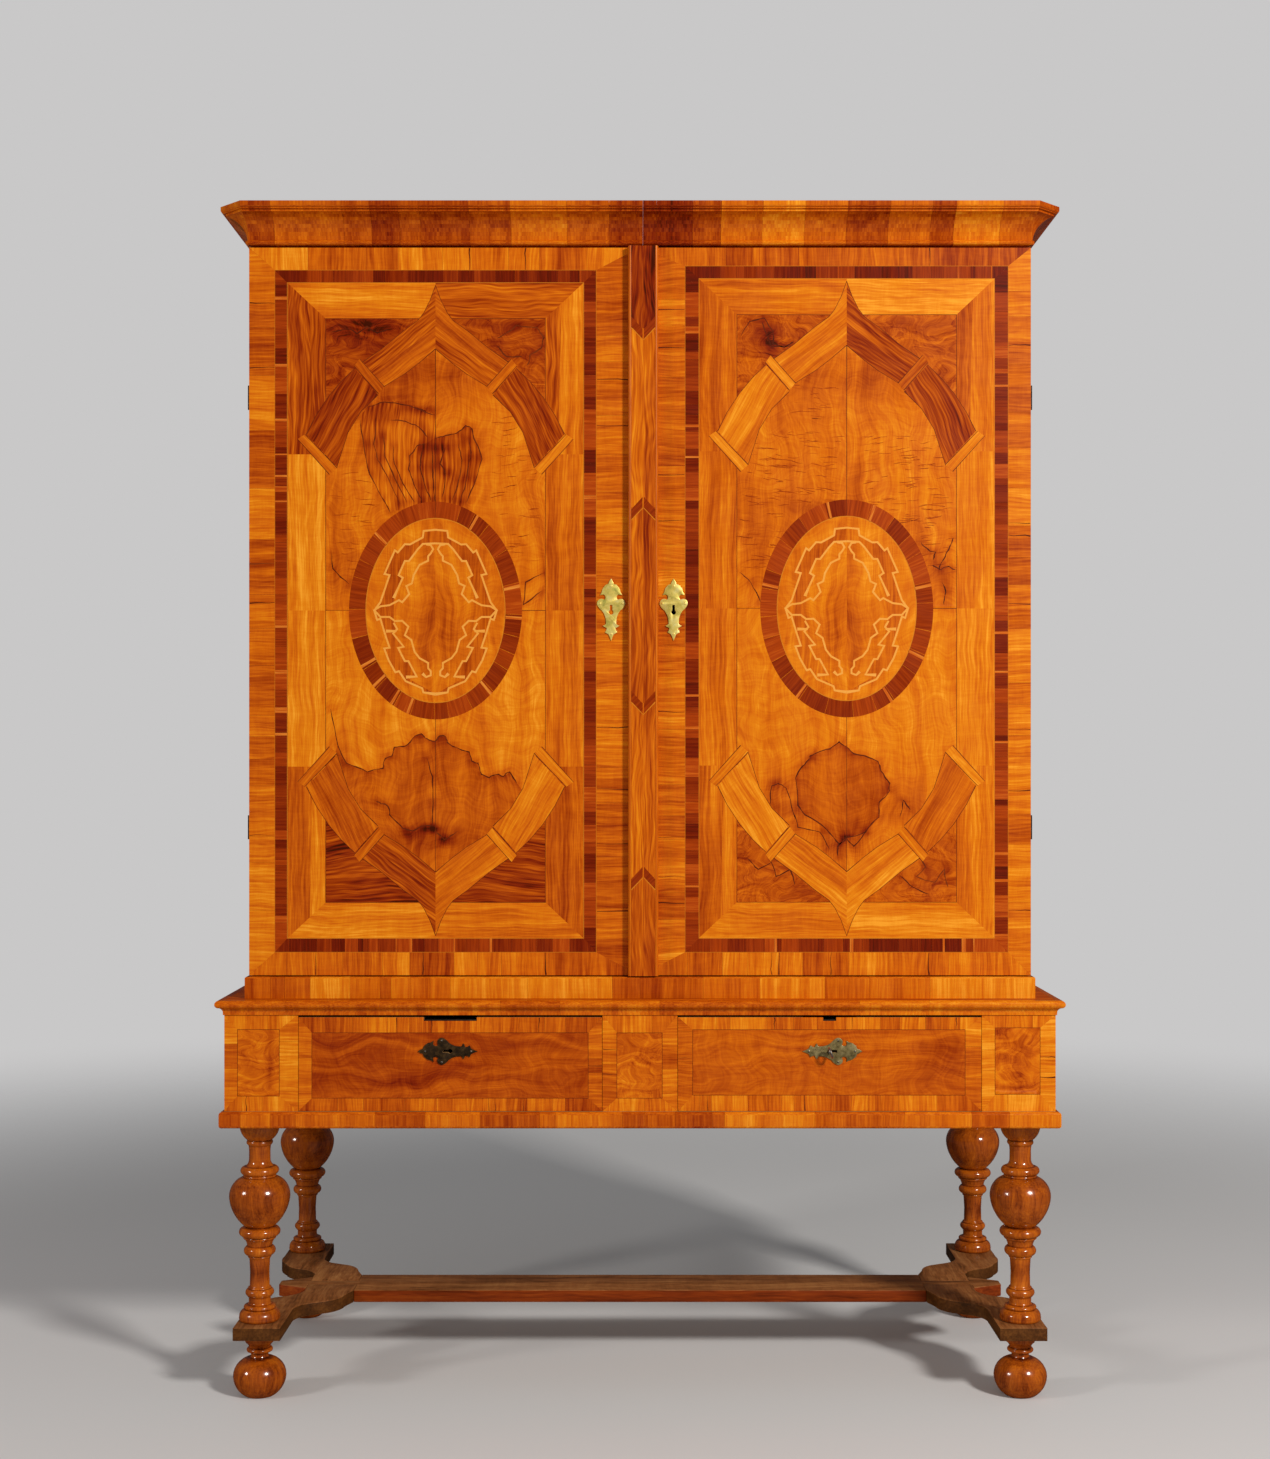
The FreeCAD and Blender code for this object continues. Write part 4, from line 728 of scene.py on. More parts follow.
def oval(piece, plane, dice, tones):
    """The oval with its kingwood ring and its inlaid lines.

    The tones are those of its leaf, of the zone between the lines, and of the lines.
    """
    marks = breaks(0, 2 * math.pi, (0.16, 0.34), dice)
    for (start, _), (end, _) in zip(marks, marks[1:]):
        thin = dice.random() < 0.3
        middle = (start + end) / 2
        steps = max(3, int((end - start) * 20))
        outline = ring_part(start + 0.002, end - 0.002, steps)
        grain, shift = (math.sin(middle), math.cos(middle)), anywhere(dice)
        piece.plate(plane, outline, 0.35, kingwood, dice.uniform(0.3, 0.62), grain, shift)
        if thin:
            sliver = ring_part(start + 0.02, start + 0.05, 3)
            piece.plate(plane, sliver, 0.3, kingwood, 0.86, grain, shift)
    piece.plate(plane, ellipse([radius + 0.6 for radius in RING_INNER])[:-1], 0.3, boxwood, 0.3, (1, 0))
    for side in (-1, 1):
        half = mirrored(ellipse([radius - 0.8 for radius in RING_INNER], 0, math.pi, 40), side)
        shade = blobs(plane, tones[0], ((0, 60, 60, 45, 0.05), (0, -10, 40, 60, -0.16), (20 * side, -60, 26, 50, -0.1)))
        area = ((min(0, 118 * side), -157), (max(0, 118 * side), 157))
        piece.plate(plane, half, 0.25, field_walnut, shade, (0, 1), (4.4, 2.2), side, (9, area))
        zone = OVAL_OUTER + OVAL_MIDDLE_LOW[::-1] + OVAL_MIDDLE_HIGH[::-1]
        piece.plate(plane, mirrored(zone, side), 0.22, straight_walnut, tones[1], (0, 1), (side, 0))
        runs = (OVAL_OUTER, OVAL_MIDDLE_HIGH, OVAL_MIDDLE_LOW, OVAL_INNER, OVAL_RUNG)
        for number, run in enumerate(runs):
            level = 0.16 - 0.006 * number - 0.003 * (side > 0)
            piece.plate(plane, strip(mirrored(run, side), 3.2), level, boxwood, tones[2], (1, 0))


def door(word, area, spans, bands, tones, figure, patches, rays, spots, seed, openings=()):
    """A door: its core, outer crossbands, kingwood band with lines, and inner panel.

    The spans are the outlines of the kingwood band and of the inner panel. Openings are where the
    veneer is left out in front of a keyhole.
    """
    plane = Plane((0, DOOR_FACE, 0), X, -Y)
    piece = carry(f"door_{word}_veneered", f"door_{word}_panel", oak, Z, 0.5, 0.4, plane)
    piece.openings = openings
    for face in piece.mesh.faces:
        if abs(face.normal.y) < 0.5:
            piece.grained([face], straight_walnut, 0.45, Z)
    kingwood_area, panel_area = spans
    left, right, low, high = panel_area
    stretch = (high - low) / 2 / PANEL_HIGH
    banding(piece, plane, area, kingwood_area, (34, 100), straight_walnut, bands, LEAF_LEVEL, seed, 0.0, 0.4)
    dark, red = (0.12, 0.5), (0.14, 0.66)
    banding(piece, plane, kingwood_area, panel_area, (7, 34), kingwood, (red, red, dark, red), 0.45, seed + 1, 0.1)
    line_frame(piece, plane, panel_area, 0.9, 0.4, boxwood, 0.3)
    line_frame(piece, plane, kingwood_area, 0.8, 0.42, boxwood, 0.2)
    local = Plane(((left + right) / 2, DOOR_FACE, (low + high) / 2), X, -Y)
    panel(piece, local, stretch, tones, figure, patches, rays, spots, seed + 2)
    piece.finish(f"door_{word}", "walnut_veneer", f"door_{word}_panel")


# Other figure in the leaves: the light heart under the oval and the two lobes over it
LEFT_HEART = (
    (-166, -228), *LEFT_FIGURE[0][2:], (148, -306), (130, -340), (100, -370), (92, -386), (54, -405), (29, -425),
    (0, -448), (-29, -425), (-54, -405), (-92, -386), (-100, -370), (-130, -340), (-152, -303), (-170, -242),
)
LEFT_LOBE = (
    (0, 333), (-23, 342), (-46, 350), (-65, 356), (-91, 353), (-113, 347), (-125, 334), (-128, 317), (-122, 283),
    (-112, 232), (-91, 192), (-77, 167), (-40, 176), (0, 184),
)
RIGHT_LOBE = (
    (-40, 176), (-24, 187), (-38, 215), (-46, 240), (-44, 263), (-31, 280), (-17, 283), (-1, 293), (17, 297),
    (36, 301), (51, 314), (62, 308), (68, 286), (79, 257), (68, 221), (53, 184), (54, 172), (0, 184),
)
door(
    "left", (-CASE_HALF, -0.75, DOOR_LOW, DOOR_HIGH), ((-619.4, -74.7, 757.5, 1914.5), (-598.2, -96, 781.3, 1893)),
    ((0.44, 0.78), (0.44, 0.68), (0.42, 0.82), (0.46, 0.8)),
    {
        "corner": (0.37, 0.44, 0.28, 0.3), "leaf": (0.66, 0.72, 0.77, 0.73), "rail": (0.75, 0.46, 0.74, 0.69),
        "stile": (0.4, 0.76, 0.55, 0.5), "edge": (0.36, 0.46, 0.76, 0.5), "waist": (0.82, 0.61, 0.81, 0.65),
        "arm": (0.46, 0.53, 0.43, 0.71), "under": (0.5, 0.45, 0.4, 0.65), "segment": (0.34, 0.36, 0.53, 0.7),
        "block": (0.55, 0.67, 0.6, 0.72), "tip": (0.52, 0.68, 0.69, 0.7), "oval": (0.7, 0.5, 0.8),
    },
    LEFT_FIGURE,
    ((LEFT_HEART, field_walnut, 0.54), (LEFT_LOBE, streaky_walnut, 0.6), (RIGHT_LOBE, streaky_walnut, 0.53)),
    ((-140, 150, 36, 90, 26), (136, 170, 36, 100, 34), (120, 300, 20, 30, 8)),
    (
        (-50, 405, 80, 44, -0.3), (45, 395, 56, 44, -0.16), (-60, 363, 30, 8, -0.2), (-22, 342, 30, 8, -0.3),
        (6, 276, 24, 12, -0.3), (59, 258, 8, 20, -0.16), (20, 235, 14, 8, -0.18), (-92, 340, 40, 14, -0.2),
        (-108, 280, 16, 60, -0.12), (160, 100, 34, 60, -0.1), (-160, 60, 30, 50, -0.08), (-150, -235, 26, 50, -0.14),
        (-100, -322, 40, 26, 0.06), (0, -392, 70, 24, -0.16), (-46, -381, 18, 9, -0.26), (-12, -371, 20, 6, -0.3),
        (20, -389, 16, 9, -0.34), (-120, 484, 90, 12, -0.24), (120, 484, 70, 14, -0.2), (-150, 420, 30, 40, 0.08),
        (150, 300, 20, 60, 0.06),
    ),
    11,
)
door(
    "right", (0.75, CASE_HALF, DOOR_LOW, DOOR_HIGH), ((77, 624.5, 757.5, 1921.5), (100.6, 601.2, 781.3, 1900)),
    ((0.5, 0.76), (0.5, 0.8), (0.34, 0.6), (0.5, 0.72)),
    {
        "corner": (0.5, 0.52, 0.48, 0.54), "leaf": (0.68, 0.72, 0.74, 0.78), "rail": (0.65, 0.9, 0.75, 0.8),
        "stile": (0.57, 0.73, 0.56, 0.77), "edge": (0.62, 0.51, 0.64, 0.63), "waist": (0.63, 0.76, 0.66, 0.79),
        "arm": (0.71, 0.42, 0.82, 0.8), "under": (0.64, 0.36, 0.68, 0.75), "segment": (0.76, 0.36, 0.82, 0.56),
        "block": (0.72, 0.56, 0.77, 0.73), "tip": (0.75, 0.74, 0.75, 0.82), "oval": (0.73, 0.6, 0.8),
    },
    RIGHT_FIGURE,
    ((RIGHT_FIGURE[0], field_walnut, 0.59),),
    ((-90, 230, 76, 70, 90), (100, 220, 66, 80, 80), (-140, 120, 34, 60, 34), (146, 120, 32, 60, 30),
     (-60, 340, 40, 40, 18)),
    (
        (-50, 395, 60, 40, -0.14), (48, 390, 46, 44, -0.3), (-60, 150, 80, 60, -0.06), (16, 215, 14, 46, -0.22),
        (-150, 110, 34, 70, -0.16), (90, -330, 60, 60, -0.18), (-100, -330, 50, 50, -0.18), (0, -392, 60, 30, -0.2),
        (150, 60, 40, 60, -0.06), (40, 320, 20, 20, -0.12), (-152, 470, 24, 24, -0.24), (-130, 440, 12, 40, -0.22),
        (120, 480, 80, 14, -0.12), (174, 30, 12, 28, -0.2), (-170, 190, 20, 40, -0.1), (-72, 172, 40, 14, -0.18),
        (110, 150, 30, 24, -0.12),
    ),
    31,
    (((52, 1327), (62, 1351)),),
)

# The strip that covers the doors' meeting: streaky pieces parted by dark chevrons with pale edges
strip_plane = Plane((5.5, COVER_FACE, 0), X, -Y)
cover = carry("door_astragal_veneered", "door_astragal", straight_walnut, Z, 0.6, 0, strip_plane)
STRIP_HALF = 20.2
# Low and high end of each piece, its tone, and which way the chevron at its high end points
STRIP_PIECES = ((DOOR_LOW, 885, 0.5, 1), (885, 1180, 0.62, -1), (1180, 1510, 0.5, 1), (1510, 1813, 0.6, -1),
                (1813, DOOR_HIGH, 0.22, 0))
CHEVRON = ((1.2, -18), (STRIP_HALF, 3), (STRIP_HALF, 20), (1.2, -1))
for low, high, tone, point in STRIP_PIECES:
    for side in (-1, 1):
        edge = STRIP_HALF * side
        outline = rectangle(min(0, edge), max(0, edge), low + 0.15, high - 0.15)
        cover.plate(strip_plane, outline, 0.6, streaky_walnut, tone - 0.03 * side, (0, 1), (side, low * MM))
        if point:
            outline = [(x * side, high - y * point) for x, y in CHEVRON]
            cover.plate(strip_plane, outline, 0.5, kingwood, 0.4, (1, 1))
            line = [(0, high - 20 + 10 * (point + 1)), (edge, high + 1 - 11 * (point + 1))]
            cover.plate(strip_plane, strip(line, 1.0), 0.45, boxwood, 0.3, (1, 0))
cover.finish("door_right", "walnut_veneer", "door_astragal")


# Stand: posts and drawers
def bordered(node, body, core, outer, inner, lengths, tones, kind, centre, spots, seed, openings=()):
    """A front of the stand: a leaf with a border of short cross-grain pieces, on a core."""
    plane = Plane((0, FRIEZE_FACE, 0), X, -Y)
    piece = carry(node + "_veneered", node, *core, 0.4, plane)
    piece.openings = openings
    banding(piece, plane, outer, inner, lengths, straight_walnut, tones, LEAF_LEVEL, seed, 0.0, 0.25)
    line_frame(piece, plane, inner, 0.8, 0.42, joint_line, 0.8)
    left, right, low, high = inner
    cuts = (9, ((left, low), (right, high)))
    shade = blobs(plane, centre, spots)
    piece.plate(plane, rectangle(*inner), LEAF_LEVEL, kind, shade, (1, 0), anywhere(Random(seed)), 1, cuts)
    piece.finish(body, "walnut_veneer", node)


# Name, left and right end, the leaf's area, the border's tones, the leaf's tone and its spots
POSTS = (
    ("left", (-STAND_HALF, -574.5), (-676, -606.5, 519, 630), (0.58, 0.82), 0.64,
     ((-622, 575, 7, 70, -0.24), (-660, 600, 20, 40, -0.06))),
    ("centre", (-63, 63), (-38.5, 37, 515.5, 624.5), (0.52, 0.78), 0.6, ((20, 600, 20, 30, -0.08),)),
    ("right", (574.5, STAND_HALF), (597, 672, 522, 633), (0.6, 0.86), 0.59, ((640, 560, 16, 60, -0.2),)),
)
for number, (word, ends, inner, tones, tone, spots) in enumerate(POSTS):
    bordered(f"post_{word}", "cabinet", (straight_walnut, Z, 0.48), (*ends, FRIEZE_LOW, FRIEZE_HIGH), inner, (16, 44),
             tones, burr_walnut, tone, spots, 50 + number)

# The same, with half the width of the lock edge before the spots
DRAWERS = (
    ("left", (-573.7, -63.8), (-551, -87.4, 515.5, 624.7), (0.42, 0.68), 0.43, 44.5,
     ((-520, 600, 60, 40, -0.08), (-318, 550, 90, 30, 0.06), (-180, 580, 50, 40, 0.06), (-430, 590, 60, 40, -0.05),
      (-400, 542, 40, 11, -0.12), (-345, 556, 40, 11, -0.13), (-290, 572, 40, 11, -0.13), (-235, 588, 40, 11, -0.12),
      (-180, 602, 40, 11, -0.1))),
    ("right", (63.8, 573.7), (89, 546, 520.6, 629.8), (0.5, 0.78), 0.53, 11,
     ((180, 570, 90, 30, 0.06), (430, 600, 60, 40, 0.06), (510, 590, 40, 40, -0.14), (330, 560, 60, 20, -0.06))),
)
for number, (word, ends, inner, tones, tone, lock_half, spots) in enumerate(DRAWERS):
    key_x = sum(ends) / 2
    openings = (((key_x - 14, 588), (key_x + 14, 600)), ((key_x - lock_half, 645), (key_x + lock_half, 660)))
    bordered(f"drawer_{word}_front", f"drawer_{word}", (oak, X, 0.5), (*ends, 493.5, 651), inner, (20, 70), tones,
             field_walnut, tone, spots, 70 + number, openings)


# Sides of the case and of the stand
def side_veneer(node, side, face, area, border, seed):
    """An outer side: an upright leaf, in two mirrored halves, inside a cross-grain border."""
    plane = Plane((face * side, 0, 0), Y, X * side)
    piece = carry(node + "_veneered", node, oak, Z, 0.5, 0.3, plane)
    left, right, low, high = area
    inner = (left + border, right - border, low + border, high - border)
    banding(piece, plane, area, inner, (60, 140), straight_walnut, (0.42, 0.6), LEAF_LEVEL, seed)
    half = (inner[0] + inner[1]) / 2
    for mirror, span in ((-1, (inner[0], half - 0.1)), (1, (half + 0.1, inner[1]))):
        outline = rectangle(*span, *inner[2:])
        piece.plate(plane, outline, LEAF_LEVEL, field_walnut, 0.5, (0, 1), (seed, 0.3), mirror)
    piece.finish("cabinet", "walnut_veneer", node)


for side, word in ((-1, "left"), (1, "right")):
    side_veneer(f"case_side_{word}", side, CASE_HALF, (-238, 298, 716, CASE_HIGH), 44, 90 + side)
    side_veneer(f"stand_side_{word}", side, STAND_HALF, (-274, 298, FRIEZE_LOW, FRIEZE_HIGH), 26, 95 + side)


# Mouldings
def moulding(name, node, profile, half, front_y, bottom, tones, lengths, seed, marks, cant=1.0, backing=(0, 0)):
    """A moulding on the front and both sides, of upright cross-grain pieces.

    The profile is (reach, height, bow). Marks are where the front's pieces end, in mm from the
    middle, with the tone of each. The sides' pieces have random lengths and tones. Below 1 the
    cant cuts the corners off at that share of the reach. The backing is the depth behind the face
    that the moulding is fixed to, on the front and on the sides.
    """
    piece = Piece(name)
    dice = Random(seed)
    curve = bowed(profile)
    share = backing[1] / backing[0] if backing[0] else 0

    def section(depth):
        return [*curve, Vector((-depth, curve[-1].y)), Vector((-depth, 0))]

    def spot(x, y, height):
        return Vector((x, y, bottom + height)) * MM

    def front_at(x):
        out = []
        for reach, height in section(backing[0]):
            end = half + (reach * cant if reach > 0 else reach * share)
            out.append(spot(max(-end, min(end, x)) if abs(x) >= half else x, front_y - reach, height))
        return out

    def side_at(y, side):
        out = []
        for reach, height in section(backing[1]):
            corner = front_y - (reach * cant if reach > 0 else (reach / share if share else 0))
            out.append(spot((half + reach) * side, corner if y <= front_y else y, height))
        return out

    def corner_at(side, across, out):
        return [spot((half + reach * across) * side, front_y - reach * out, height) for reach, height in section(0)]

    def add(first, second, tone, shift):
        piece.grained(piece.prism(first, second), moulding_walnut, tone, Z, shift)

    for (start, _), (end, tone) in zip(marks, marks[1:]):
        add(front_at(start + JOINT_GAP), front_at(end - JOINT_GAP), tone, anywhere(dice))
    for side in (-1, 1):
        row = breaks(front_y - 1, REAR_FACE, lengths, dice)
        for (start, _), (end, _) in zip(row, row[1:]):
            gap = 0 if end == REAR_FACE else JOINT_GAP
            add(side_at(start + JOINT_GAP, side), side_at(end - gap, side), dice.uniform(*tones), anywhere(dice))
        if cant < 1:
            corners = (corner_at(side, cant, 1), corner_at(side, 1, cant))
            add(*corners, dice.uniform(*tones), (dice.uniform(0, 9), 0))
    piece.finish("cabinet", "walnut_moulding", node)


CORNICE = ((2.5, 0, 0), (2.5, 8, 0.9), (36, 47, -0.3), (38, 47.5, 0), (38, 51, 0), (43, 51.5, 0), (43, 53, 0),
           (47, 57, 0.4), (47, 63, 0))
# The first and last marks lie past the corners
CORNICE_PIECES = (
    (-800, 0), (-619, 0.42), (-501, 0.57), (-454, 0.45), (-406, 0.3), (-371, 0.46), (-288, 0.36), (-218, 0.46),
    (-123, 0.66), (-52, 0.52), (5, 0.34), (28, 0.22), (89, 0.2), (137, 0.4), (207, 0.62), (278, 0.77), (349, 0.58),
    (420, 0.38), (491, 0.57), (531, 0.36), (609, 0.76), (800, 0.58),
)
moulding("cornice_crossgrained", "cornice", CORNICE, CASE_HALF, DOOR_FACE, CASE_HIGH, (0.3, 0.66), (60, 140), 3,
         CORNICE_PIECES, 0.13, (46, 22))
WAIST = ((2, 0, 0), (2, 4, 0), (7.5, 12, -0.3), (14, 18.5, 0.414), (7.5, 25, 0.414))
WAIST_PIECES = (
    (-900, 0), (-594, 0.58), (-360, 0.54), (-234, 0.64), (-134, 0.5), (33, 0.65), (201, 0.53), (368, 0.57),
    (485, 0.7), (900, 0.76),
)
moulding("waist_crossgrained", "waist_moulding", WAIST, STAND_HALF, FRIEZE_FACE, FRIEZE_HIGH, (0.44, 0.66), (60, 150),
         5, WAIST_PIECES)
BASE = ((3, 0, 0), (8, 5, 0.414), (8, 22.6, 0), (3, 27.6, 0.414))
BASE_PIECES = (
    (-900, 0), (-670, 0.42), (-620, 0.61), (-578, 0.5), (-444, 0.6), (-360, 0.44), (-268, 0.64), (-168, 0.45),
    (-142, 0.56), (-30, 0.64), (8, 0.45), (59, 0.56), (121, 0.43), (142, 0.55), (293, 0.73), (444, 0.54),
    (556, 0.67), (620, 0.5), (900, 0.72),
)
moulding("base_crossgrained", "base_moulding", BASE, STAND_HALF, FRIEZE_FACE, 465, (0.42, 0.7), (50, 130), 7,
         BASE_PIECES)
PLINTH = ((5.5, 0, 0), (5.5, 33.5, 0), (3, 36, 0.414))
PLINTH_PIECES = (
    (-900, 0), (-626, 0.56), (-601, 0.46), (-558, 0.56), (-491, 0.82), (-440, 0.64), (-421, 0.53), (-389, 0.73),
    (-355, 0.58), (-321, 0.69), (-190, 0.79), (-47, 0.82), (0, 0.55), (107, 0.47), (203, 0.65), (313, 0.77),
    (389, 0.58), (491, 0.65), (900, 0.84),
)
moulding("plinth_crossgrained", "plinth_moulding", PLINTH, CASE_HALF, -266.5, CASE_LOW, (0.5, 0.76), (70, 170), 9,
         PLINTH_PIECES, backing=(28.5, 0))

# Turned legs and feet: radius share, height share and bow
LEG = (
    (0.62, 0.0, 0), (0.67, 0.022, 0.4), (0.544, 0.056, 0.3), (0.485, 0.06, 0), (0.485, 0.078, 0.7),
    (0.398, 0.084, 0), (0.359, 0.094, -0.3), (0.359, 0.112, 0), (0.388, 0.12, -0.3), (0.417, 0.126, 0),
    (0.417, 0.158, 0.5), (0.373, 0.161, 0), (0.373, 0.168, 0.5), (0.326, 0.176, -0.3), (0.316, 0.244, 0),
    (0.34, 0.312, 0), (0.373, 0.318, 0), (0.373, 0.326, 0.5), (0.447, 0.332, 0), (0.447, 0.374, 0.55),
    (0.408, 0.377, 0), (0.485, 0.41, -0.1), (0.524, 0.413, 0), (0.524, 0.424, 0.5), (0.602, 0.428, 0),
    (0.602, 0.468, 0.6), (0.466, 0.474, 0), (0.816, 0.535, 0.106), (1.0, 0.625, 0.12), (0.854, 0.693, 0.18),
    (0.53, 0.725, 0.17), (0.53, 0.735, 0.5), (0.544, 0.738, 0), (0.544, 0.776, 0.7), (0.466, 0.779, 0),
    (0.353, 0.815, -0.25), (0.35, 0.85, 0), (0.369, 0.883, -0.05), (0.398, 0.888, 0), (0.398, 0.91, 0.5),
    (0.645, 1.0, 0.3),
)
FOOT = (
    (0.58, 0.0, 0), (1.0, 0.31, 0.25), (0.42, 0.605, 0.36), (0.35, 0.62, 0), (0.35, 0.69, -0.3), (0.44, 0.7, 0),
    (0.44, 0.765, 0.7), (0.4, 0.77, 0), (0.54, 0.86, -0.2), (0.6, 1.0, 0.1),
)


def turned(node, shares, radius, bottom, height, x, y, tone):
    """A turned piece, spun from its half outline about an upright axis."""
    piece = Piece(node + "_turned")
    run = bowed([(share * radius, up * height, bow) for share, up, bow in shares], 7)
    run = [Vector((0, 0)), *run, Vector((0, height))]
    verts = [piece.mesh.verts.new(Vector((x + r, y, bottom + z)) * MM) for r, z in run]
    edges = [piece.mesh.edges.new(pair) for pair in zip(verts, verts[1:])]
    bmesh.ops.spin(piece.mesh, geom=verts + edges, cent=Vector((x, y, 0)) * MM, axis=Z, angle=2 * math.pi,
                   steps=72, use_merge=True)
    bmesh.ops.remove_doubles(piece.mesh, verts=piece.mesh.verts[:], dist=1e-6)
    faces = piece.mesh.faces[:]
    bmesh.ops.recalc_face_normals(piece.mesh, faces=faces)
    # Painted shade: grooves are painted darker than rounds, for the shade and the dirt in the hollows. Thicker parts
    # are a little darker too
    tones_with_painted_groove_shade = []
    for before, spot, after in zip(run, run[1:], run[2:]):
        hollow = max(-0.5, min((before.x + after.x) / 2 - spot.x, 1.2))
        tones_with_painted_groove_shade.append(((bottom + spot.y) * MM, tone - 0.2 * spot.x / radius - 0.26 * hollow))

    def shade(place):
        return min(tones_with_painted_groove_shade, key=lambda item: abs(item[0] - place.z))[1]

    piece.grained(faces, turned_walnut, shade, Z)
    piece.finish("cabinet", "turned_walnut", node, angle=30)


# The axes' places, and each part's radius, foot, height and tone, in mm
for end, y in (("front", -237), ("rear", 251)):
    for word, x in (("left", -650), ("right", 650)):
        for part, shares, radius, bottom, height, tone in (
            ("leg", LEG, 51.5, 127, 338, 0.61),
            ("foot", FOOT, 45, 0, 105, 0.53),
        ):
            turned(f"{part}_{end}_{word}", shares, radius, bottom, height, x, y, tone)

# Stretcher boards, worn round at their edges
for word in ("left", "right"):
    carried(f"stretcher_end_{word}", "cabinet", "stretcher_wood", stretcher_wood[1], Y, 0.5, 2.2, stretcher_dark_edge,
            segments=3)
carried("stretcher_rail", "cabinet", "stretcher_wood", stretcher_wood[0], X, 0.5, 2.0, stretcher_edge, segments=3)

# Plain boards inside
carried("stand_bottom", "cabinet", "oak", oak, X, 0.42)
carried("stand_top", "cabinet", "oak", oak, X, 0.45, 0.3, None, straight_walnut)
for node, axis, tone in (
    ("stand_back", X, 0.4), ("drawer_guides", Y, 0.44), ("case_bottom", X, 0.5), ("case_top", X, 0.46),
    ("shelf_lower", X, 0.52), ("shelf_middle", X, 0.56), ("shelf_upper", X, 0.6),
):
    carried(node, "cabinet", "oak", oak, axis, tone)
for word in ("left", "right"):
    for part, axis, tone in (("sides", Y, 0.52), ("back", X, 0.48), ("bottom", X, 0.5)):
        carried(f"drawer_{word}_{part}", f"drawer_{word}", "oak", oak, axis, tone)
# The back's upright planks, with a narrow gap between them
planks = Piece("case_back_planks")
plank_width = CASE_HALF / 3
for number in range(6):
    left = -CASE_HALF + plank_width * number
    low = Vector((left + 0.4, REAR_FACE - 12, CASE_LOW)) * MM
    high = Vector((left + plank_width - 0.4, REAR_FACE, CASE_HIGH)) * MM
    verts = bmesh.ops.create_cube(planks.mesh, size=1)["verts"]
    for vert in verts:
        vert.co = Vector([a + (b - a) * (c + 0.5) for a, b, c in zip(low, high, vert.co)])
    edges = unique(edge for vert in verts for edge in vert.link_edges)
    made = bmesh.ops.bevel(planks.mesh, geom=edges, offset=1.0 * MM, segments=2, **BEVEL)
    faces = unique(face for vert in made["verts"] for face in vert.link_faces)
    planks.grained(faces, oak, 0.4 + 0.05 * (number % 3), Z, (number * 1.7, number * 0.9))
planks.finish("cabinet", "oak", "case_back")

# Metalwork
for word, metal_kind in (("left", bronze), ("right", bronze_rubbed)):
    carried(f"door_{word}_escutcheon", f"door_{word}", "brass_plate", brass, Z, edge=0.5)
    plate = carry(f"drawer_{word}_escutcheon_made", f"drawer_{word}_escutcheon", metal_kind, X, 0.5, 0.5)
    nails = [face for face in plate.mesh.faces if face.calc_center_median().y < (FRIEZE_FACE - 1.8) * MM]
    plate.grained(nails, steel, 0.5, X)
    plate.finish(f"drawer_{word}", "bronze_plate", f"drawer_{word}_escutcheon")
    carried(f"drawer_{word}_lock", f"drawer_{word}", "iron", iron, edge=0.4)
    carried(f"drawer_{word}_bolt", f"drawer_{word}_bolt", "iron", iron, edge=0.4)
    carried(f"door_{word}_hinges", f"door_{word}", "iron", iron, edge=0.2)
carried("case_hinges", "cabinet", "iron", iron, edge=0.2)
for node, body in (
    ("door_left_irons", "door_left"), ("door_right_lock", "door_right"), ("door_lock_bolt", "door_lock_bolt"),
    ("door_top_bolt", "door_top_bolt"), ("door_bottom_bolt", "door_bottom_bolt"),
):
    carried(node, body, "iron", iron, edge=0.4)
carried("drawer_key", "drawer_key", "key_steel", steel, edge=0.15)

# Floor and backdrop
stage = bpy.data.meshes.new("floor")
sheet = bmesh.new()
bmesh.ops.create_grid(sheet, x_segments=1, y_segments=1, size=7)
bmesh.ops.translate(sheet, verts=sheet.verts[:], vec=-Z * 0.5 * MM)
sheet.to_mesh(stage)
sheet.free()
floor = placed("floor", stage)
# Plain paper, pale to the camera and dark in the polish, so that only the lamps shine in it. It
# fades out into the backdrop all round
paper, tree, shader = new_material("plain_paper")
ray = add_node(tree, "LightPath")
pale = add_node(tree, "Mix", {"Factor": ray.outputs["Is Glossy Ray"]}, data_type="RGBA")
pale.inputs[6].default_value = linear("#dcdcde")
pale.inputs[7].default_value = linear("#3c3a38")
tree.links.new(pale.outputs[2], shader.inputs["Base Color"])
shader.inputs["Roughness"].default_value = 0.95
shader.inputs["Specular IOR Level"].default_value = 0.1
place = add_node(tree, "TexCoord").outputs["Object"]
reach = add_node(tree, "VectorMath", {0: place}, operation="LENGTH").outputs["Value"]
fade = add_node(tree, "MapRange", {0: reach, 1: 1.6, 2: 4.6}, interpolation_type="SMOOTHSTEP").outputs[0]
clear = add_node(tree, "BsdfTransparent").outputs[0]
faded = add_node(tree, "MixShader", {0: fade, 1: shader.outputs[0], 2: clear})
tree.links.new(faded.outputs[0], tree.nodes["Material Output"].inputs["Surface"])
stage.materials.append(paper)
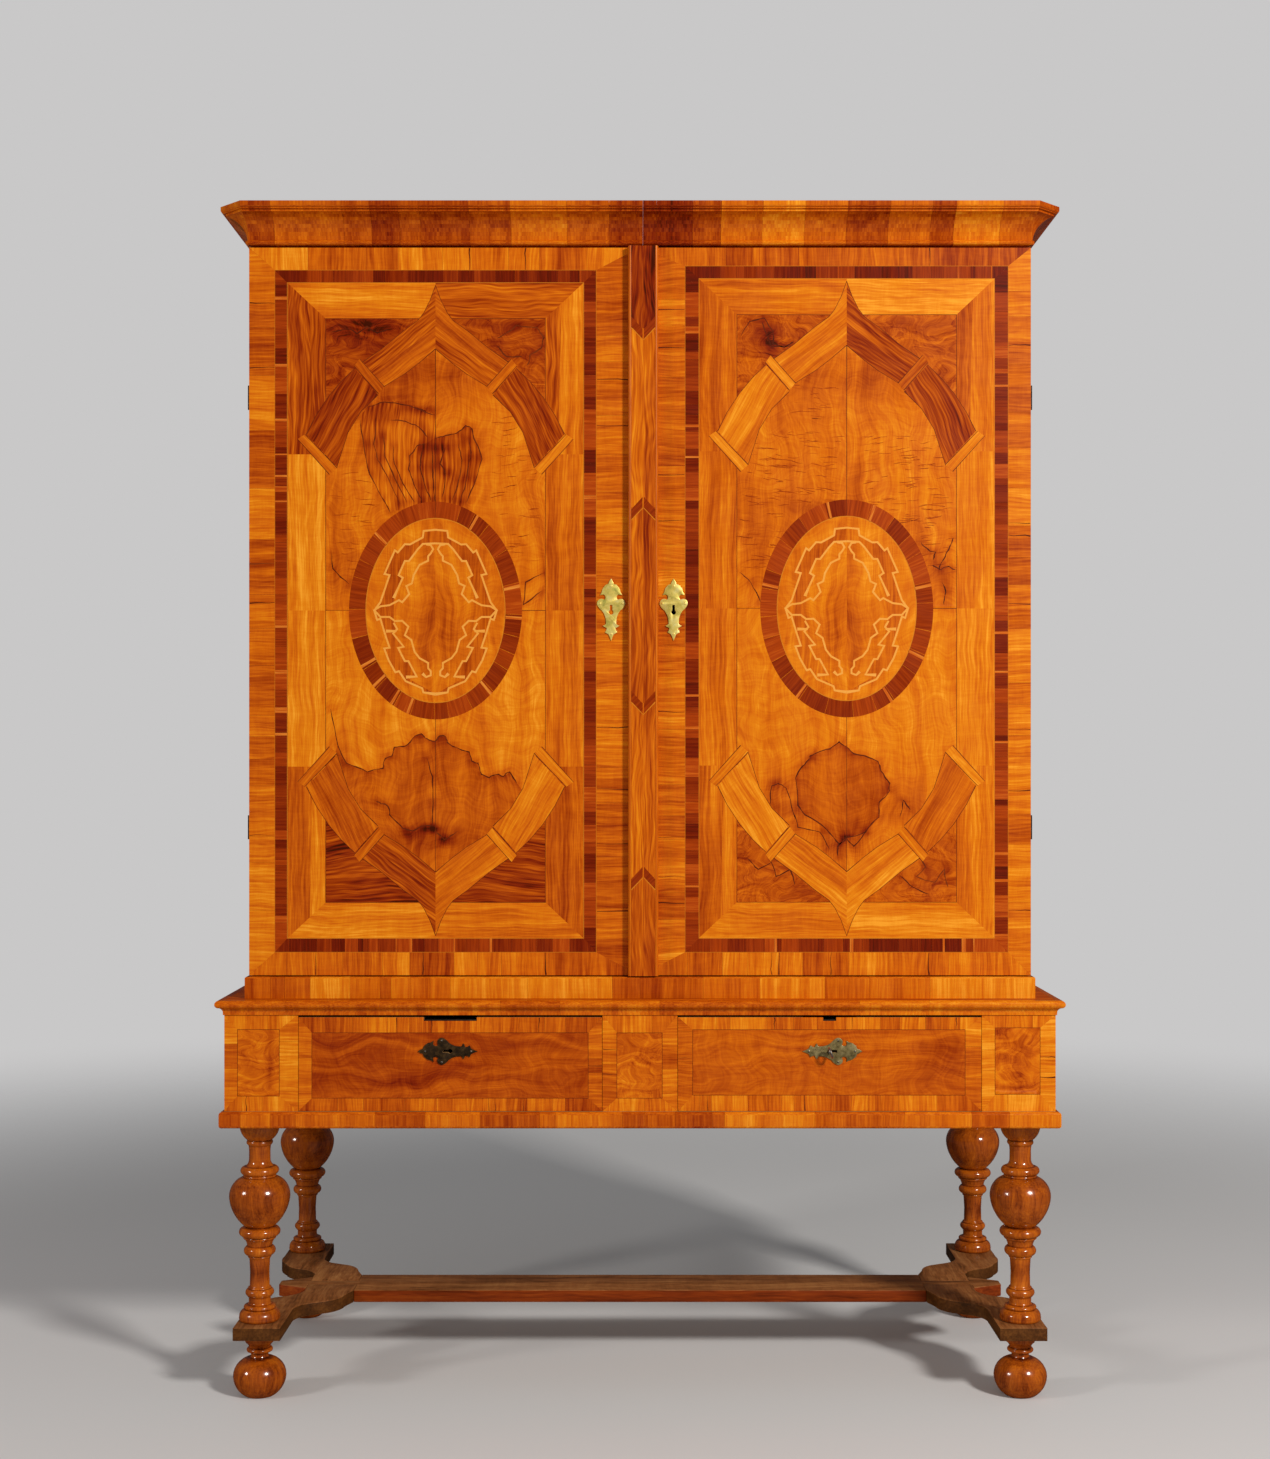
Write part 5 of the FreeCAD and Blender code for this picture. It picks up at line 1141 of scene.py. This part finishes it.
floor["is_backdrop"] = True


# Lamps: a strong one on the right, a weaker one far on the left, and a soft surround
def lamp(name, place, power):
    """A square lamp that looks at the cabinet's middle, with its power in watts."""
    light = bpy.data.lights.new(name, "AREA")
    light.shape = "SQUARE"
    light.size = 0.7
    light.energy = power
    light.color = linear("#fffaf2")[:3]
    made = placed(name, light)
    made.location = place
    made.rotation_euler = (Z - Vector(place)).to_track_quat("-Z", "Y").to_euler()


lamp("lamp_left", (-4.1, -2.5, 2.2), 60)
lamp("lamp_right", (3.1, -4.1, 3.2), 242)
world = bpy.data.worlds.new("surround")
bpy.context.scene.world = world
world.use_nodes = True
tree = world.node_tree
ray = add_node(tree, "LightPath")
fill = tree.nodes["Background"]
fill.inputs["Color"].default_value = linear("#f0f0f0")
fill.inputs["Strength"].default_value = 0.26
dim = add_node(tree, "Background", {"Color": linear("#f0f0f0"), "Strength": 0.05})
mix = add_node(tree, "MixShader", {0: ray.outputs["Is Glossy Ray"], 1: fill.outputs[0], 2: dim.outputs[0]})
plain = add_node(tree, "Background", {"Color": linear("#c9c8c8")})
shown = add_node(tree, "MixShader", {0: ray.outputs["Is Camera Ray"], 1: mix.outputs[0], 2: plain.outputs[0]})
tree.links.new(shown.outputs[0], tree.nodes["World Output"].inputs["Surface"])

# Camera, level and at the height of the doors' lower half. The focal length and shifts are in
# pixels of the picture, and the sensor's height in mm
PICTURE_HEIGHT, FOCAL_LENGTH, SENSOR_HEIGHT = 1459, 1994, 36
lens = bpy.data.cameras.new("camera")
lens.sensor_fit = "VERTICAL"
lens.sensor_height = SENSOR_HEIGHT
lens.lens = SENSOR_HEIGHT * FOCAL_LENGTH / PICTURE_HEIGHT
lens.shift_x, lens.shift_y = -5 / PICTURE_HEIGHT, 32.5 / PICTURE_HEIGHT
lens.clip_end = 60
camera = placed("camera", lens)
camera.location = (0, -3.646, 1.08)
camera.rotation_euler = (math.radians(90), 0, 0)
scene = bpy.context.scene
scene.camera = camera
scene.view_settings.view_transform = "Standard"

size_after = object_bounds()
sizes = {"frame": size_before, "visual": size_after}
{name: [list(corner) for corner in pair] for name, pair in sizes.items()}
